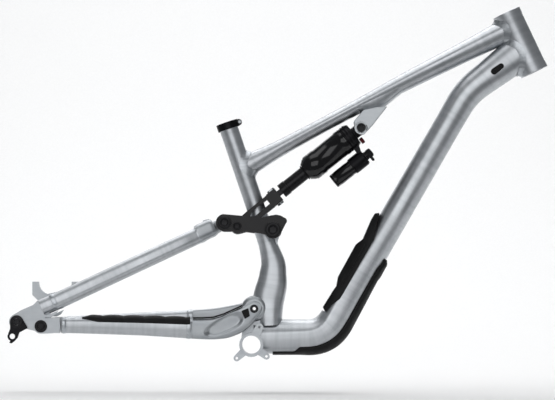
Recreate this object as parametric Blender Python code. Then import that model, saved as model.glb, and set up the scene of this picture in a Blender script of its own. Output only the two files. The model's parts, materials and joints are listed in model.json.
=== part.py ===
"""Full-suspension bicycle frame with its shock, as separate named pieces.

World frame, in metres: +X forwards, +Y to the rider's left, +Z up, with the origin at the
centre of the bottom bracket. The drive side is the right side, at negative Y. Most pieces
are drawn as a side view, a point (x, z), and given a width across Y.

The main tubes and forgings stand still. The rear end is a four-bar linkage: the chainstays
turn on the main pivot, the seatstays on the chainstays' rear pivots, and a rocker link on
the seat tube joins the seatstays and, through a yoke, the shock.
"""

import math

import bmesh
import bpy
import numpy as np

# ---- overall sizes -------------------------------------------------------------------
REACH = 0.4766  # bottom bracket to the top of the head tube, forwards
STACK = 0.6206  # bottom bracket to the top of the head tube, upwards
HEAD_ANGLE = math.radians(64.6)
SEAT_ANGLE = math.radians(71.2)
HEAD_LENGTH = 0.123
CHAINSTAY_LENGTH = 0.434
BB_DROP = 0.0436  # height of the rear axle over the bottom bracket
REAR_SPACING = 0.148
SEAT_TOP = (-0.0461, 0.4153)  # top end of the seat tube, on its centre line

# ---- pivots of the rear end, side view ----------------------------------------------
MAIN_PIVOT = (0.0054, 0.0673)
REAR_PIVOT_AHEAD = (0.0447, -0.0082)  # from the rear axle
STAY_PIVOT = (-0.0498, 0.2273)  # seatstay on the rocker link
LINK_PIVOT = (0.0405, 0.2137)  # rocker link on the seat tube
YOKE_PIVOT = (-0.0262, 0.2208)  # shock yoke on the rocker link
SHOCK_MOUNT = (0.22734, 0.03573)  # upper end of the shock: along the top tube, and under its line

# ---- tubes ---------------------------------------------------------------------------
WALL = 0.0018
HEAD_RADIUS = 0.027
HEAD_BORE = 0.022
SEAT_RADIUS = 0.01745
SEAT_BORE = 0.0155
SEAT_UPPER_LENGTH = 0.215
COLLAR_WALL = 0.00335
BB_RADIUS = 0.0225
BB_BORE = 0.0174
BB_WIDTH = 0.073
SIDES = 20  # faces round a tube
GAP = 0.0003  # what two pieces that touch are kept apart by
RUN = 0.0005  # clearance of one moving piece from the next

# ---- main pivot and rocker pivot -----------------------------------------------------
MAIN_BOSS_RADIUS = 0.0165
MAIN_BOSS_WIDTH = 0.060
MAIN_WEB_WIDTH = 0.044
MAIN_AXLE_RADIUS = 0.0054
MAIN_AXLE_BORE = 0.0026
MAIN_BEARING_RADIUS = 0.0130
ROCKER_BOSS_RADIUS = 0.0148
ROCKER_BOLT_RADIUS = 0.0072
ROCKER_BOLT_CLEARANCE = 0.00105  # of the bolts' tips from the seat tube
ROCKER_HEAD_RADIUS = 0.0142
ROCKER_BEARING_RADIUS = 0.0120
BEARING_WIDTH = 0.007
HEAD_THICKNESS = 0.003  # of a pivot bolt's flanged head

# ---- rocker link, and the eyes that hang on it ---------------------------------------
LINK_CLEARANCE = 0.0025  # of each plate from the shock yoke's leg
LINK_BOSS_GAP = 0.001  # of each plate from the rocker boss and from the stay's eye
LINK_THICKNESS = 0.010
LINK_END_RADIUS = 0.0162
STAY_EYE_WIDTH = 0.009
STAY_EYE_RADIUS = 0.0112
STAY_BOLT_RADIUS = 0.0050
STAY_HEAD_RADIUS = 0.0118
YOKE_LEG_CLEARANCE = 0.00255  # of each leg from the seat tube
YOKE_LEG_WIDTH = 0.009
YOKE_EYE_RADIUS = 0.0095
YOKE_BOLT_RADIUS = 0.0040
YOKE_HEAD_RADIUS = 0.0080
OPEN_PIVOT_PLAY = 0.0034  # the stay's and the yoke's holes are wider than the bolts by this

# ---- rear end ------------------------------------------------------------------------
DROPOUT_THICKNESS = 0.010
REAR_EYE_RADIUS = 0.0130
REAR_BOLT_RADIUS = 0.0057
REAR_BEARING_RADIUS = 0.0100
CLEVIS_EAR = 0.006
CLEVIS_RADIUS = 0.0138
REAR_CAP_RADIUS = 0.0115
AXLE_RADIUS = 0.006
AXLE_NUT_RADIUS = 0.0122
AXLE_RING_RADIUS = 0.0145
HANGER_THICKNESS = 0.0055
HANGER_HOLE = (-0.0080, -0.0268)  # from the rear axle
HANGER_BORE = 0.0050
SEATSTAY_HEIGHT = 0.028
SEATSTAY_WIDTH = 0.018
CHAINSTAY_WIDTH = 0.018
YOKE_ARM_WIDTH = 0.009
STAY_DRAWN_AXLE = -0.4318  # where the rear axle lies when the stays' points need no moving
YOKE_ARM_STANDOFF = 0.0020  # of each arm from the main pivot's boss
YOKE_ARM_LEAN = 0.125  # sideways spread of an arm for each length rearwards
BRAKE_POST_SPACING = 0.0742
BRAKE_POST_AHEAD = 0.0240  # of the rear post from the axle
BRAKE_POST_TOP = 0.1177

# ---- shock ---------------------------------------------------------------------------
EYE_TO_EYE = 0.205
CAN_RADIUS = 0.025
CAN_WALL = 0.003
CAN_TOP = 0.036  # distances along the shock are from its upper eye
CAN_SEAL_TOP = 0.118
CAN_BOTTOM = 0.132
SHAFT_RADIUS = 0.0128
SHAFT_INSIDE = 0.100  # where the shaft ends inside the can, at rest
SHAFT_END = 0.190
RESERVOIR_RADIUS = 0.0142
RESERVOIR_OFFSET = -0.0465  # of its centre line from the shock's
RESERVOIR_TOP = 0.058
RESERVOIR_BOTTOM = 0.098
SHOCK_EYE_WIDTH = 0.025
SHOCK_EYE_RADIUS = 0.0118
SHOCK_BOLT_RADIUS = 0.0050
MOUNT_EAR = 0.0070
TONGUE_THICKNESS = 0.011
TONGUE_WIDTH = 0.021
CLAMP_BOLT_RADIUS = 0.0040

# ---- down tube and its storage -------------------------------------------------------
DOWN_TUBE_HEIGHT = 0.0152  # of its centre line where it leaves the bottom bracket
DOWN_TUBE_SLOPE = math.radians(59.9616)  # of the long straight
DOWN_TUBE_JOIN = 0.0470  # its upper end, up the head tube from the bottom rim
DOWN_TUBE_HEAD_RUN = 0.133  # length of the top stretch, to where the straights would meet
DOWN_TUBE_HEAD_SLOPE = math.radians(36.8)
GUARD_THICKNESS = 0.0025
TOP_TUBE_JOIN_SEAT = 0.090  # down the seat tube from its top
TOP_TUBE_JOIN_HEAD = 0.030  # down the head tube from its top
TOP_TUBE_BOW = 0.0028
DOOR_SLOPE = math.radians(60.7)

# ---- looks ---------------------------------------------------------------------------
SILVER = ("#B4B7BA", 0.30, 1.0)
BLACK = ("#17171A", 0.42, 0.0)
ANODISED = ("#141417", 0.30, 0.6)
RUBBER = ("#1B1B1C", 0.75, 0.0)
STEEL = ("#8E9092", 0.30, 1.0)
GLOSS_BLACK = ("#0C0C0E", 0.18, 0.0)
RED = ("#7A3238", 0.32, 0.7)


def material(name, look):
    """A plain Principled material from (sRGB colour, roughness, metallic)."""
    colour, roughness, metallic = look
    shares = [int(colour[i : i + 2], 16) / 255 for i in (1, 3, 5)]
    linear = [s / 12.92 if s <= 0.04045 else ((s + 0.055) / 1.055) ** 2.4 for s in shares]
    made = bpy.data.materials.new(name)
    made.use_nodes = True
    shader = made.node_tree.nodes["Principled BSDF"]
    shader.inputs["Base Color"].default_value = (*linear, 1)
    shader.inputs["Roughness"].default_value = roughness
    shader.inputs["Metallic"].default_value = metallic
    made.diffuse_color = (*linear, 1)
    return made


# ---- points and directions -----------------------------------------------------------
def point(x, z):
    return np.array([x, z], float)


def along(angle):
    """Unit vector of the side view at this angle over the horizontal."""
    return point(math.cos(angle), math.sin(angle))


def in_space(side_point, y=0.0):
    return np.array([side_point[0], y, side_point[1]], float)


def arc(centre, radius, start, end, steps=6):
    """Points of an arc from one angle to another, in degrees."""
    angles = np.radians(np.linspace(start, end, steps + 1))
    return np.asarray(centre) + radius * np.column_stack([np.cos(angles), np.sin(angles)])


def outline(*pieces):
    """One outline from single points and arcs, in order."""
    return np.vstack([np.atleast_2d(piece) for piece in pieces])


def round_both(first, first_radius, second, second_radius, steps=8):
    """The outline of two circles and their outer tangents, as a belt would run."""
    first, second = np.asarray(first, float), np.asarray(second, float)
    apart = second - first
    facing = math.degrees(math.atan2(apart[1], apart[0]))
    spread = math.degrees(math.acos((first_radius - second_radius) / np.linalg.norm(apart)))
    return outline(
        arc(first, first_radius, facing + spread, facing + 360 - spread, steps),
        arc(second, second_radius, facing - spread, facing + spread, steps),
    )


def filleted(corners, radii, steps=5):
    """A path through the corners, each inner corner rounded to its radius."""
    corners = [np.asarray(corner, float) for corner in corners]
    path = [corners[0]]
    for before, corner, after, radius in zip(corners, corners[1:], corners[2:], radii):
        back = (before - corner) / np.linalg.norm(before - corner)
        ahead = (after - corner) / np.linalg.norm(after - corner)
        half = math.acos(np.clip(back @ ahead, -1, 1)) / 2
        middle = (back + ahead) / np.linalg.norm(back + ahead)
        centre = corner + middle * radius / math.sin(half)
        first = corner + back * radius / math.tan(half) - centre
        last = corner + ahead * radius / math.tan(half) - centre
        turn = math.pi - 2 * half
        for share in np.linspace(0, 1, steps + 1):
            mix = math.sin((1 - share) * turn) * first + math.sin(share * turn) * last
            path.append(centre + mix / math.sin(turn))
    path.append(corners[-1])
    return np.array(path)


def curve(points, steps=3):
    """A smooth curve through the points (Catmull-Rom), a few steps between each two."""
    points = np.asarray(points, float)
    ends = np.vstack([2 * points[0] - points[1], points, 2 * points[-1] - points[-2]])
    path = []
    for a, b, c, d in zip(ends, ends[1:], ends[2:], ends[3:]):
        for t in np.arange(steps) / steps:
            bend = (2 * a - 5 * b + 4 * c - d) * t**2 + (3 * b - a - 3 * c + d) * t**3
            path.append(b + 0.5 * ((c - a) * t + bend))
    return np.array(path + [points[-1]])


# ---- solids --------------------------------------------------------------------------
def solid(name, points, faces, look=None, origin=(0, 0, 0)):
    """A closed solid from world points, faces turned outwards, its origin on its pivot."""
    mesh = bpy.data.meshes.new(name)
    mesh.from_pydata((np.asarray(points) - np.asarray(origin)).tolist(), [], faces)
    shape = bmesh.new()
    shape.from_mesh(mesh)
    bmesh.ops.recalc_face_normals(shape, faces=shape.faces)
    shape.to_mesh(mesh)
    shape.free()
    made = bpy.data.objects.new(name, mesh)
    made.location = origin
    bpy.context.scene.collection.objects.link(made)
    if look:
        mesh.materials.append(material(name, look))
    return made


def hidden(made):
    """Marks a helper that only cuts or joins."""
    made.hide_render = True
    made.display_type = "WIRE"
    return made


def combine(made, operation, others):
    for other in others:
        modifier = made.modifiers.new(operation.title(), "BOOLEAN")
        modifier.operation = operation
        modifier.solver = "EXACT"
        modifier.object = hidden(other)
    return made


def cut(made, *others):
    return combine(made, "DIFFERENCE", others)


def join(made, *others):
    return combine(made, "UNION", others)


def rounded(made, angle=35):
    """Smooth shading, with edges sharper than this angle kept sharp."""
    made.data.shade_smooth()
    made.data.set_sharp_from_angle(angle=math.radians(angle))
    return made


def stack_faces(rows, count, closed_rows=False):
    """Quads between each ring and the next, and round the rings if they close up."""
    faces = []
    last = rows if closed_rows else rows - 1
    for row in range(last):
        low, high = row * count, (row + 1) % rows * count
        for i in range(count):
            j = (i + 1) % count
            faces.append([low + i, low + j, high + j, high + i])
    return faces


def prism(name, side_outline, low, high, look=None, origin=(0, 0, 0), lean=0.0):
    """A side-view outline given a width from y = low to y = high.

    With a lean, each point moves outwards by lean for each length it lies rearwards of the
    main pivot.
    """
    side_outline = np.asarray(side_outline)
    count = len(side_outline)
    shift = lean * (MAIN_PIVOT[0] - side_outline[:, 0])
    rings = [
        np.column_stack([side_outline[:, 0], np.full(count, y) + shift, side_outline[:, 1]])
        for y in (low, high)
    ]
    faces = stack_faces(2, count)
    faces += [list(range(count)), list(range(count, 2 * count))]
    return solid(name, np.vstack(rings), faces, look, origin)


def turned(name, profile, start, direction, look=None, origin=(0, 0, 0), sides=16):
    """A solid of revolution. The profile's points are (distance from start, radius).

    A profile that ends on the axis is closed there; one that doesn't is closed on itself,
    which leaves a hole down the middle.
    """
    direction = np.asarray(direction, float) / np.linalg.norm(direction)
    across = np.array([1.0, 0, 0]) if abs(direction[1]) > 0.9 else np.array([0, 1.0, 0])
    upward = np.cross(direction, across)
    angles = np.radians(np.arange(sides) * 360 / sides)
    spokes = np.outer(np.cos(angles), across) + np.outer(np.sin(angles), upward)
    points, rows = [], []
    for distance, radius in profile:
        centre = np.asarray(start) + distance * direction
        ring = [centre] if radius == 0 else list(centre + radius * spokes)
        rows.append([len(points) + (i if radius else 0) for i in range(sides)])
        points += ring
    if profile[0][1] > 0:
        rows.append(rows[0])
    faces = []
    for low, high in zip(rows, rows[1:]):
        for i in range(sides):
            j = (i + 1) % sides
            faces.append(list(dict.fromkeys([low[i], low[j], high[j], high[i]])))
    return rounded(solid(name, points, faces, look, origin))


def pin(name, side_point, radius, low, high, look=None, origin=(0, 0, 0), sides=16):
    """A plain cylinder across the frame."""
    profile = [(0, 0), (0, radius), (high - low, radius), (high - low, 0)]
    return turned(name, profile, in_space(side_point, low), (0, 1, 0), look, origin, sides)


def ring(name, side_point, bore, radius, low, high, look=None, origin=(0, 0, 0), sides=16):
    """A cylinder across the frame with a hole through it."""
    profile = [(0, bore), (0, radius), (high - low, radius), (high - low, bore)]
    return turned(name, profile, in_space(side_point, low), (0, 1, 0), look, origin, sides)


def flanged_bolt(name, side_point, head, shank, tip, under_head, look, origin, side):
    """A bolt across the frame: its head outside under_head, its shank in to tip.

    The distances are from the middle of the frame, towards side: -1 right, 1 left.
    """
    top = under_head + HEAD_THICKNESS
    profile = [
        (tip, 0),
        (tip, shank),
        (under_head, shank),
        (under_head, head),
        (top - 0.0008, head),
        (top, head - 0.0008),
        (top, shank * 0.6),
        (top - 0.002, shank * 0.6),
        (top - 0.002, 0),
    ]
    return turned(name, profile, in_space(side_point), (0, side, 0), look, origin)


def sections(shape, grow=0.0, angles=None, power=2.4):
    """The rings of a tube: at each point of the path, an oval square to it.

    shape is (path, widths across Y, heights in the side view). A power over 2 squares the
    oval off.
    """
    path, widths, heights = shape
    tangents = np.gradient(path, axis=0)
    tangents /= np.linalg.norm(tangents, axis=1)[:, None]
    across = np.array([0, 1.0, 0]) - tangents[:, 1:2] * tangents
    across /= np.linalg.norm(across, axis=1)[:, None]
    upward = np.cross(tangents, across)
    if angles is None:
        angles = np.arange(SIDES) * 360 / SIDES
    cosines, sines = np.cos(np.radians(angles)), np.sin(np.radians(angles))
    sideways = np.sign(cosines) * abs(cosines) ** (2 / power)
    upwards = np.sign(sines) * abs(sines) ** (2 / power)
    reach = (widths / 2 + grow)[:, None, None] * sideways[None, :, None] * across[:, None]
    rise = (heights / 2 + grow)[:, None, None] * upwards[None, :, None] * upward[:, None]
    return path[:, None] + reach + rise


def shaped(path, stations):
    """A tube's shape from its path and (share of the length, width, height) stations."""
    path = np.asarray(path, float)
    if path.shape[1] == 2:
        path = np.insert(path, 1, 0.0, axis=1)
    steps = np.linalg.norm(np.diff(path, axis=0), axis=1)
    shares = np.concatenate([[0], np.cumsum(steps)]) / steps.sum()
    where, widths, heights = np.array(stations, float).T
    return path, np.interp(shares, where, widths), np.interp(shares, where, heights)


def tube(name, shape, look, origin=(0, 0, 0), wall=WALL):
    """A hollow tube, open at both ends."""
    outer, inner = sections(shape), sections(shape, -wall)
    loops = np.concatenate([outer, inner[::-1]])
    faces = stack_faces(len(loops), SIDES, closed_rows=True)
    return rounded(solid(name, loops.reshape(-1, 3), faces, look, origin))


def rod(name, shape, look=None, origin=(0, 0, 0), grow=0.0):
    """The same shape, filled."""
    loops = sections(shape, grow)
    count = loops.shape[0] * SIDES
    faces = stack_faces(len(loops), SIDES)
    faces += [list(range(SIDES)), list(range(count - SIDES, count))]
    return rounded(solid(name, loops.reshape(-1, 3), faces, look, origin))


def stretch_of(shape, first, last):
    """The part of a tube's shape between two shares of its length."""
    path, widths, heights = shape
    steps = np.linalg.norm(np.diff(path, axis=0), axis=1)
    shares = np.concatenate([[0], np.cumsum(steps)]) / steps.sum()
    where = np.concatenate([[first], shares[(shares > first) & (shares < last)], [last]])
    middle = np.column_stack([np.interp(where, shares, path[:, axis]) for axis in range(3)])
    return middle, np.interp(where, shares, widths), np.interp(where, shares, heights)


def cover(name, shape, angles, thickness, look, origin=(0, 0, 0)):
    """A strip laid on a tube, over these angles round it."""
    inside = sections(shape, GAP, angles)
    outside = sections(shape, GAP + thickness, angles)
    loops = np.concatenate([inside, outside[:, ::-1]], axis=1)
    rows, count = loops.shape[:2]
    faces = stack_faces(rows, count)
    faces += [list(range(count)), list(range((rows - 1) * count, rows * count))]
    return rounded(solid(name, loops.reshape(-1, 3), faces, look, origin))


# ---- the layout ----------------------------------------------------------------------
bottom_bracket = point(0, 0)
head_top = point(REACH, STACK)
head_down = along(-HEAD_ANGLE)
head_bottom = head_top + HEAD_LENGTH * head_down
seat_top = np.array(SEAT_TOP)
seat_down = along(-SEAT_ANGLE)
seat_ahead = along(math.pi / 2 - SEAT_ANGLE)
down_tube_join = head_bottom - DOWN_TUBE_JOIN * head_down
down_tube_crook = down_tube_join - DOWN_TUBE_HEAD_RUN * along(DOWN_TUBE_HEAD_SLOPE)
down_tube_rise = down_tube_crook[1] - DOWN_TUBE_HEIGHT
down_tube_bend = down_tube_crook - down_tube_rise * point(1 / math.tan(DOWN_TUBE_SLOPE), 1)
main_pivot = np.array(MAIN_PIVOT)
stay_pivot = np.array(STAY_PIVOT)
link_pivot = np.array(LINK_PIVOT)
yoke_pivot = np.array(YOKE_PIVOT)
top_tube_start = seat_top + TOP_TUBE_JOIN_SEAT * seat_down + 0.004 * seat_ahead
top_tube_end = head_top + TOP_TUBE_JOIN_HEAD * head_down
top_tube_along = (top_tube_end - top_tube_start) / np.linalg.norm(top_tube_end - top_tube_start)
top_tube_under = point(top_tube_along[1], -top_tube_along[0])
shock_top = (
    top_tube_start + SHOCK_MOUNT[0] * top_tube_along + SHOCK_MOUNT[1] * top_tube_under
)
axle = point(-math.sqrt(CHAINSTAY_LENGTH**2 - BB_DROP**2), BB_DROP)
rear_pivot = axle + REAR_PIVOT_AHEAD
shock_reach = np.linalg.norm(yoke_pivot - shock_top)
shock_down = (yoke_pivot - shock_top) / shock_reach
shock_over = point(shock_down[1], -shock_down[0])  # square to the shock, on its upper side


def on_shock(distance, over=0.0):
    """A point this far down the shock from its upper eye, and this far over its axis."""
    return shock_top + distance * shock_down + over * shock_over


yoke_arm_middle = MAIN_BOSS_WIDTH / 2 + YOKE_ARM_STANDOFF + YOKE_ARM_WIDTH / 2
yoke_leg_inner = SEAT_RADIUS + YOKE_LEG_CLEARANCE
link_inner = yoke_leg_inner + YOKE_LEG_WIDTH + LINK_CLEARANCE
rocker_boss_width = 2 * (link_inner - LINK_BOSS_GAP)
rocker_bolt_inner = SEAT_RADIUS + ROCKER_BOLT_CLEARANCE
stay_eye_inner = link_inner - LINK_BOSS_GAP - STAY_EYE_WIDTH
stay_eye_middle = stay_eye_inner + STAY_EYE_WIDTH / 2
dropout_middle = REAR_SPACING / 2 + DROPOUT_THICKNESS / 2
rocker = in_space(link_pivot)
chainstay = in_space(main_pivot)
seatstay = in_space(rear_pivot)
shock_body = in_space(shock_top)
shock_shaft = in_space(on_shock(EYE_TO_EYE))
RIGHT, LEFT = -1, 1
SIDE_NAMES = {RIGHT: "right", LEFT: "left"}


def span(side, inner, outer):
    """The low and high y of something between two distances from the middle."""
    return sorted((side * inner, side * outer))


# ---- main tubes ----------------------------------------------------------------------
def down_tube_shape():
    corners = [point(0.004, DOWN_TUBE_HEIGHT), down_tube_bend, down_tube_crook, down_tube_join]
    path = filleted(corners, [0.057, 0.140])
    stations = [
        (0.00, 0.060, 0.065),
        (0.13, 0.060, 0.064),
        (0.24, 0.056, 0.0605),
        (0.34, 0.053, 0.0535),
        (0.78, 0.052, 0.0515),
        (0.88, 0.051, 0.0580),
        (1.00, 0.050, 0.0680),
    ]
    return shaped(path, stations)


def top_tube_shape():
    middle = (top_tube_start + top_tube_end) / 2 - TOP_TUBE_BOW * top_tube_under
    stations = [
        (0.00, 0.034, 0.044),
        (0.06, 0.034, 0.036),
        (0.13, 0.035, 0.030),
        (0.27, 0.036, 0.027),
        (0.43, 0.037, 0.027),
        (0.62, 0.040, 0.034),
        (0.83, 0.043, 0.038),
        (1.00, 0.044, 0.047),
    ]
    return shaped(curve([top_tube_start, middle, top_tube_end], steps=8), stations)


def seat_lower_shape():
    """Round where it leaves the upper seat tube, deep and wide where it stands on the rest."""
    start = seat_top + (SEAT_UPPER_LENGTH + GAP) * seat_down
    across = 2 * SEAT_RADIUS
    path = [start, start + 0.005 * seat_down, (0.0324, 0.1825), (0.0406, 0.152)]
    path += [(0.0403, 0.130), (0.0383, 0.1115), (0.0325, 0.086), (0.0330, 0.064), (0.0340, 0.044)]
    widths = [across, across, 0.036, 0.040, 0.044, 0.048, 0.053, 0.056, 0.056]
    depths = [across, across, 0.0355, 0.046, 0.052, 0.0575, 0.060, 0.050, 0.046]
    return np.insert(np.array(path), 1, 0.0, axis=1), np.array(widths), np.array(depths)


def seat_axis_pin(name, radius, start, end):
    """A helper cylinder on the seat tube's axis."""
    profile = [(start, 0), (start, radius), (end, radius), (end, 0)]
    return turned(name, profile, in_space(seat_top), in_space(seat_down), sides=SIDES)


def head_axis_pin(name, radius):
    profile = [(-0.01, 0), (-0.01, radius), (HEAD_LENGTH + 0.01, radius), (HEAD_LENGTH + 0.01, 0)]
    return turned(name, profile, in_space(head_top), in_space(head_down), sides=24)


def build_tubes():
    head_profile = [(0, HEAD_BORE), (0, HEAD_RADIUS), (HEAD_LENGTH, HEAD_RADIUS)]
    head_profile.append((HEAD_LENGTH, HEAD_BORE))
    turned(
        "head_tube", head_profile, in_space(head_top), in_space(head_down), SILVER, sides=24
    )
    seat_profile = [(0, SEAT_BORE), (0, SEAT_RADIUS), (SEAT_UPPER_LENGTH, SEAT_RADIUS)]
    seat_profile.append((SEAT_UPPER_LENGTH, SEAT_BORE))
    turned(
        "seat_tube_upper", seat_profile, in_space(seat_top), in_space(seat_down), SILVER,
        sides=SIDES,
    )

    head_space = head_axis_pin("head_space", HEAD_RADIUS + GAP)
    bb_space = pin("bb_space", bottom_bracket, BB_RADIUS + GAP, -0.05, 0.05, sides=24)
    boss_space = main_boss("main_boss_space", grow=GAP)
    top_tube = tube("top_tube", top_tube_shape(), SILVER)
    seat_space = seat_axis_pin("seat_space", SEAT_RADIUS + GAP, -0.02, SEAT_UPPER_LENGTH)
    cut(top_tube, head_space, seat_space)

    down_tube = tube("down_tube", down_tube_shape(), SILVER)
    top_space = rod("top_tube_space", top_tube_shape(), grow=GAP)
    cut(down_tube, head_space, top_space, bb_space, boss_space, door_space())
    cut(down_tube, port_space(RIGHT), port_space(LEFT))

    seat_lower = tube("seat_tube_lower", seat_lower_shape(), SILVER)
    down_space = rod("down_tube_space", down_tube_shape(), grow=GAP)
    cut(seat_lower, boss_space, down_space)


def port_outline(grow=0.0):
    """A slot with round ends, on the down tube's side near the head tube."""
    middle = down_tube_join - 0.063 * along(DOWN_TUBE_HEAD_SLOPE)
    ahead = 0.0080 * along(DOWN_TUBE_HEAD_SLOPE)
    return round_both(middle - ahead, 0.0058 + grow, middle + ahead, 0.0050 + grow)


def port_space(side):
    low, high = span(side, 0.015, 0.035)
    return prism("port_space_" + SIDE_NAMES[side], port_outline(GAP), low, high)


# ---- bottom bracket and main pivot ---------------------------------------------------
def bearing_seat(bore, bearing, face):
    """The profile of a bore that widens for a bearing at the boss's outer face."""
    step = face - BEARING_WIDTH
    wide = bearing + GAP
    return [(step, bore), (step, wide), (face + 0.01, wide), (face + 0.01, 0)]


def main_boss(name, look=None, grow=0.0):
    """A round boss on a narrower web that stands on the bottom bracket shell."""
    web = round_both(
        main_pivot, MAIN_BOSS_RADIUS - 0.001 + grow, bottom_bracket, BB_RADIUS - 0.002 + grow
    )
    half = MAIN_WEB_WIDTH / 2 + grow
    boss = prism(name, web, -half, half, look)
    half = MAIN_BOSS_WIDTH / 2 + grow
    return join(boss, pin(name + "_round", main_pivot, MAIN_BOSS_RADIUS + grow, -half, half))


def build_bottom_bracket():
    shell = pin(
        "bottom_bracket_shell", bottom_bracket, BB_RADIUS, -BB_WIDTH / 2, BB_WIDTH / 2, SILVER,
        sides=24,
    )
    guide_tabs = [(65.5, 0.0365, 0.0072), (222.5, 0.0365, 0.0060), (323.0, 0.0355, 0.0060)]
    low, high = -BB_WIDTH / 2 + 0.002, -BB_WIDTH / 2 + 0.0062
    for number, (angle, reach, radius) in enumerate(guide_tabs):
        hole = bottom_bracket + reach * along(math.radians(angle))
        tab = round_both(hole, radius, bottom_bracket + 0.4 * hole, radius + 0.002)
        join(shell, prism(f"guide_tab_{number}", tab, low, high))
        cut(shell, pin(f"guide_hole_{number}", hole, 0.0025, -0.05, -0.02, sides=12))
    cut(shell, pin("bb_bore", bottom_bracket, BB_BORE, -0.05, 0.05, sides=24))

    boss = main_boss("main_pivot_boss", SILVER)
    cut(boss, pin("bb_space_for_boss", bottom_bracket, BB_RADIUS + GAP, -0.05, 0.05, sides=24))
    half = MAIN_BOSS_WIDTH / 2
    outwards = bearing_seat(MAIN_AXLE_RADIUS + RUN, MAIN_BEARING_RADIUS, half)
    bore = [(-distance, radius) for distance, radius in reversed(outwards)] + outwards
    cut(boss, turned("main_boss_bore", bore, in_space(main_pivot), (0, 1, 0)))
    for side in (RIGHT, LEFT):
        low, high = span(side, half - BEARING_WIDTH + GAP, half)
        ring(
            "main_bearing_" + SIDE_NAMES[side], main_pivot, MAIN_AXLE_RADIUS + GAP,
            MAIN_BEARING_RADIUS, low, high, STEEL,
        )


# ---- rocker boss, shock mount, collar, trim ------------------------------------------
def build_rocker_boss():
    half = rocker_boss_width / 2
    gusset = round_both(link_pivot, ROCKER_BOSS_RADIUS - 0.001, (0.0400, 0.1900), 0.0085)
    boss = prism("rocker_boss", gusset, -0.012, 0.012, SILVER)
    join(boss, pin("rocker_boss_round", link_pivot, ROCKER_BOSS_RADIUS, -half, half, sides=20))
    tip = rocker_bolt_inner - RUN
    radius = ROCKER_BOLT_RADIUS + RUN
    bore = [(tip, 0), (tip, radius), *bearing_seat(radius, ROCKER_BEARING_RADIUS, half)]
    for side in (RIGHT, LEFT):
        name = SIDE_NAMES[side]
        cut(boss, turned("rocker_bore_" + name, bore, in_space(link_pivot), (0, side, 0)))
        low, high = span(side, half - BEARING_WIDTH + GAP, half)
        ring(
            "rocker_bearing_" + name, link_pivot, ROCKER_BOLT_RADIUS + GAP,
            ROCKER_BEARING_RADIUS, low, high, STEEL,
        )
    cut(boss, rod("seat_lower_space", seat_lower_shape(), grow=GAP))
    space_end = SEAT_UPPER_LENGTH + 3 * GAP
    cut(boss, seat_axis_pin("seat_space_for_boss", SEAT_RADIUS + GAP, 0.1, space_end))


def build_shock_mount():
    """Two ears under the top tube, on a gusset that runs forwards along it."""
    half = SHOCK_EYE_WIDTH / 2 + 0.001 + MOUNT_EAR
    side_view = outline(
        shock_top + (-0.0140, 0.0200),
        shock_top + (-0.0135, 0.0090),
        arc(shock_top, 0.0125, 165, 315),
        shock_top + (0.0470, 0.0410),
        shock_top + (0.0740, 0.0625),
        shock_top + (0.0870, 0.0715),
        shock_top + (0.0870, 0.0800),
        shock_top + (-0.0040, 0.0350),
    )
    mount = prism("shock_mount", side_view, -half, half, SILVER)
    slot = round_both(shock_top, SHOCK_EYE_RADIUS + 0.0045, on_shock(0.05), 0.02)
    cut(mount, prism("mount_slot", slot, MOUNT_EAR - half, half - MOUNT_EAR))
    cut(mount, pin("mount_bore", shock_top, SHOCK_BOLT_RADIUS + GAP, -0.05, 0.05))
    cut(mount, rod("top_tube_space_for_mount", top_tube_shape(), grow=GAP))
    bolt = pin(
        "shock_mount_bolt", shock_top, SHOCK_BOLT_RADIUS, -half - 0.002, half + 0.002, ANODISED
    )
    for side in (RIGHT, LEFT):
        low, high = span(side, half + GAP, half + 0.003)
        join(bolt, pin("mount_bolt_head_" + SIDE_NAMES[side], shock_top, 0.0085, low, high))


def build_collar():
    """The seatpost clamp: a ring with a split lug at the front and a bolt across it."""
    height = 0.0134
    outer = SEAT_RADIUS + COLLAR_WALL
    profile = [(0, 0), (0, outer), (height, outer), (height, 0)]
    collar = turned(
        "seat_collar", profile, in_space(seat_top), in_space(seat_down), BLACK, sides=24
    )
    middle = seat_top + height / 2 * seat_down
    lug = round_both(
        middle + (outer - 0.0068) * seat_ahead, 0.0062, middle + (outer + 0.0010) * seat_ahead, 0.0058
    )
    join(collar, prism("collar_lug", lug, -0.007, 0.007))
    cut(collar, seat_axis_pin("collar_bore", SEAT_RADIUS + GAP, -0.02, 0.03))
    slit = outline(
        middle + (outer - 0.0108) * seat_ahead - 0.02 * seat_down,
        middle + (outer + 0.0192) * seat_ahead - 0.02 * seat_down,
        middle + (outer + 0.0192) * seat_ahead + 0.02 * seat_down,
        middle + (outer - 0.0108) * seat_ahead + 0.02 * seat_down,
    )
    cut(collar, prism("collar_slit", slit, -0.0008, 0.0008))
    bolt_at = middle + (outer + 0.0025) * seat_ahead
    cut(collar, pin("collar_bore_across", bolt_at, 0.0022 + GAP, -0.02, 0.02, sides=12))
    bolt = pin("seat_collar_bolt", bolt_at, 0.0022, -0.0085, 0.0085, STEEL, sides=12)
    join(bolt, pin("collar_bolt_head", bolt_at, 0.0036, -0.0105, -0.0073, sides=12))


def build_trim():
    guarded = stretch_of(down_tube_shape(), 0.050, 0.385)
    angles = np.arange(216, 325, 18)
    cover("downtube_guard", guarded, angles, GUARD_THICKNESS, RUBBER)
    low, high = span(RIGHT, 0.0215, 0.0262)
    prism("hose_port", port_outline(), low, high, RUBBER)


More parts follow.
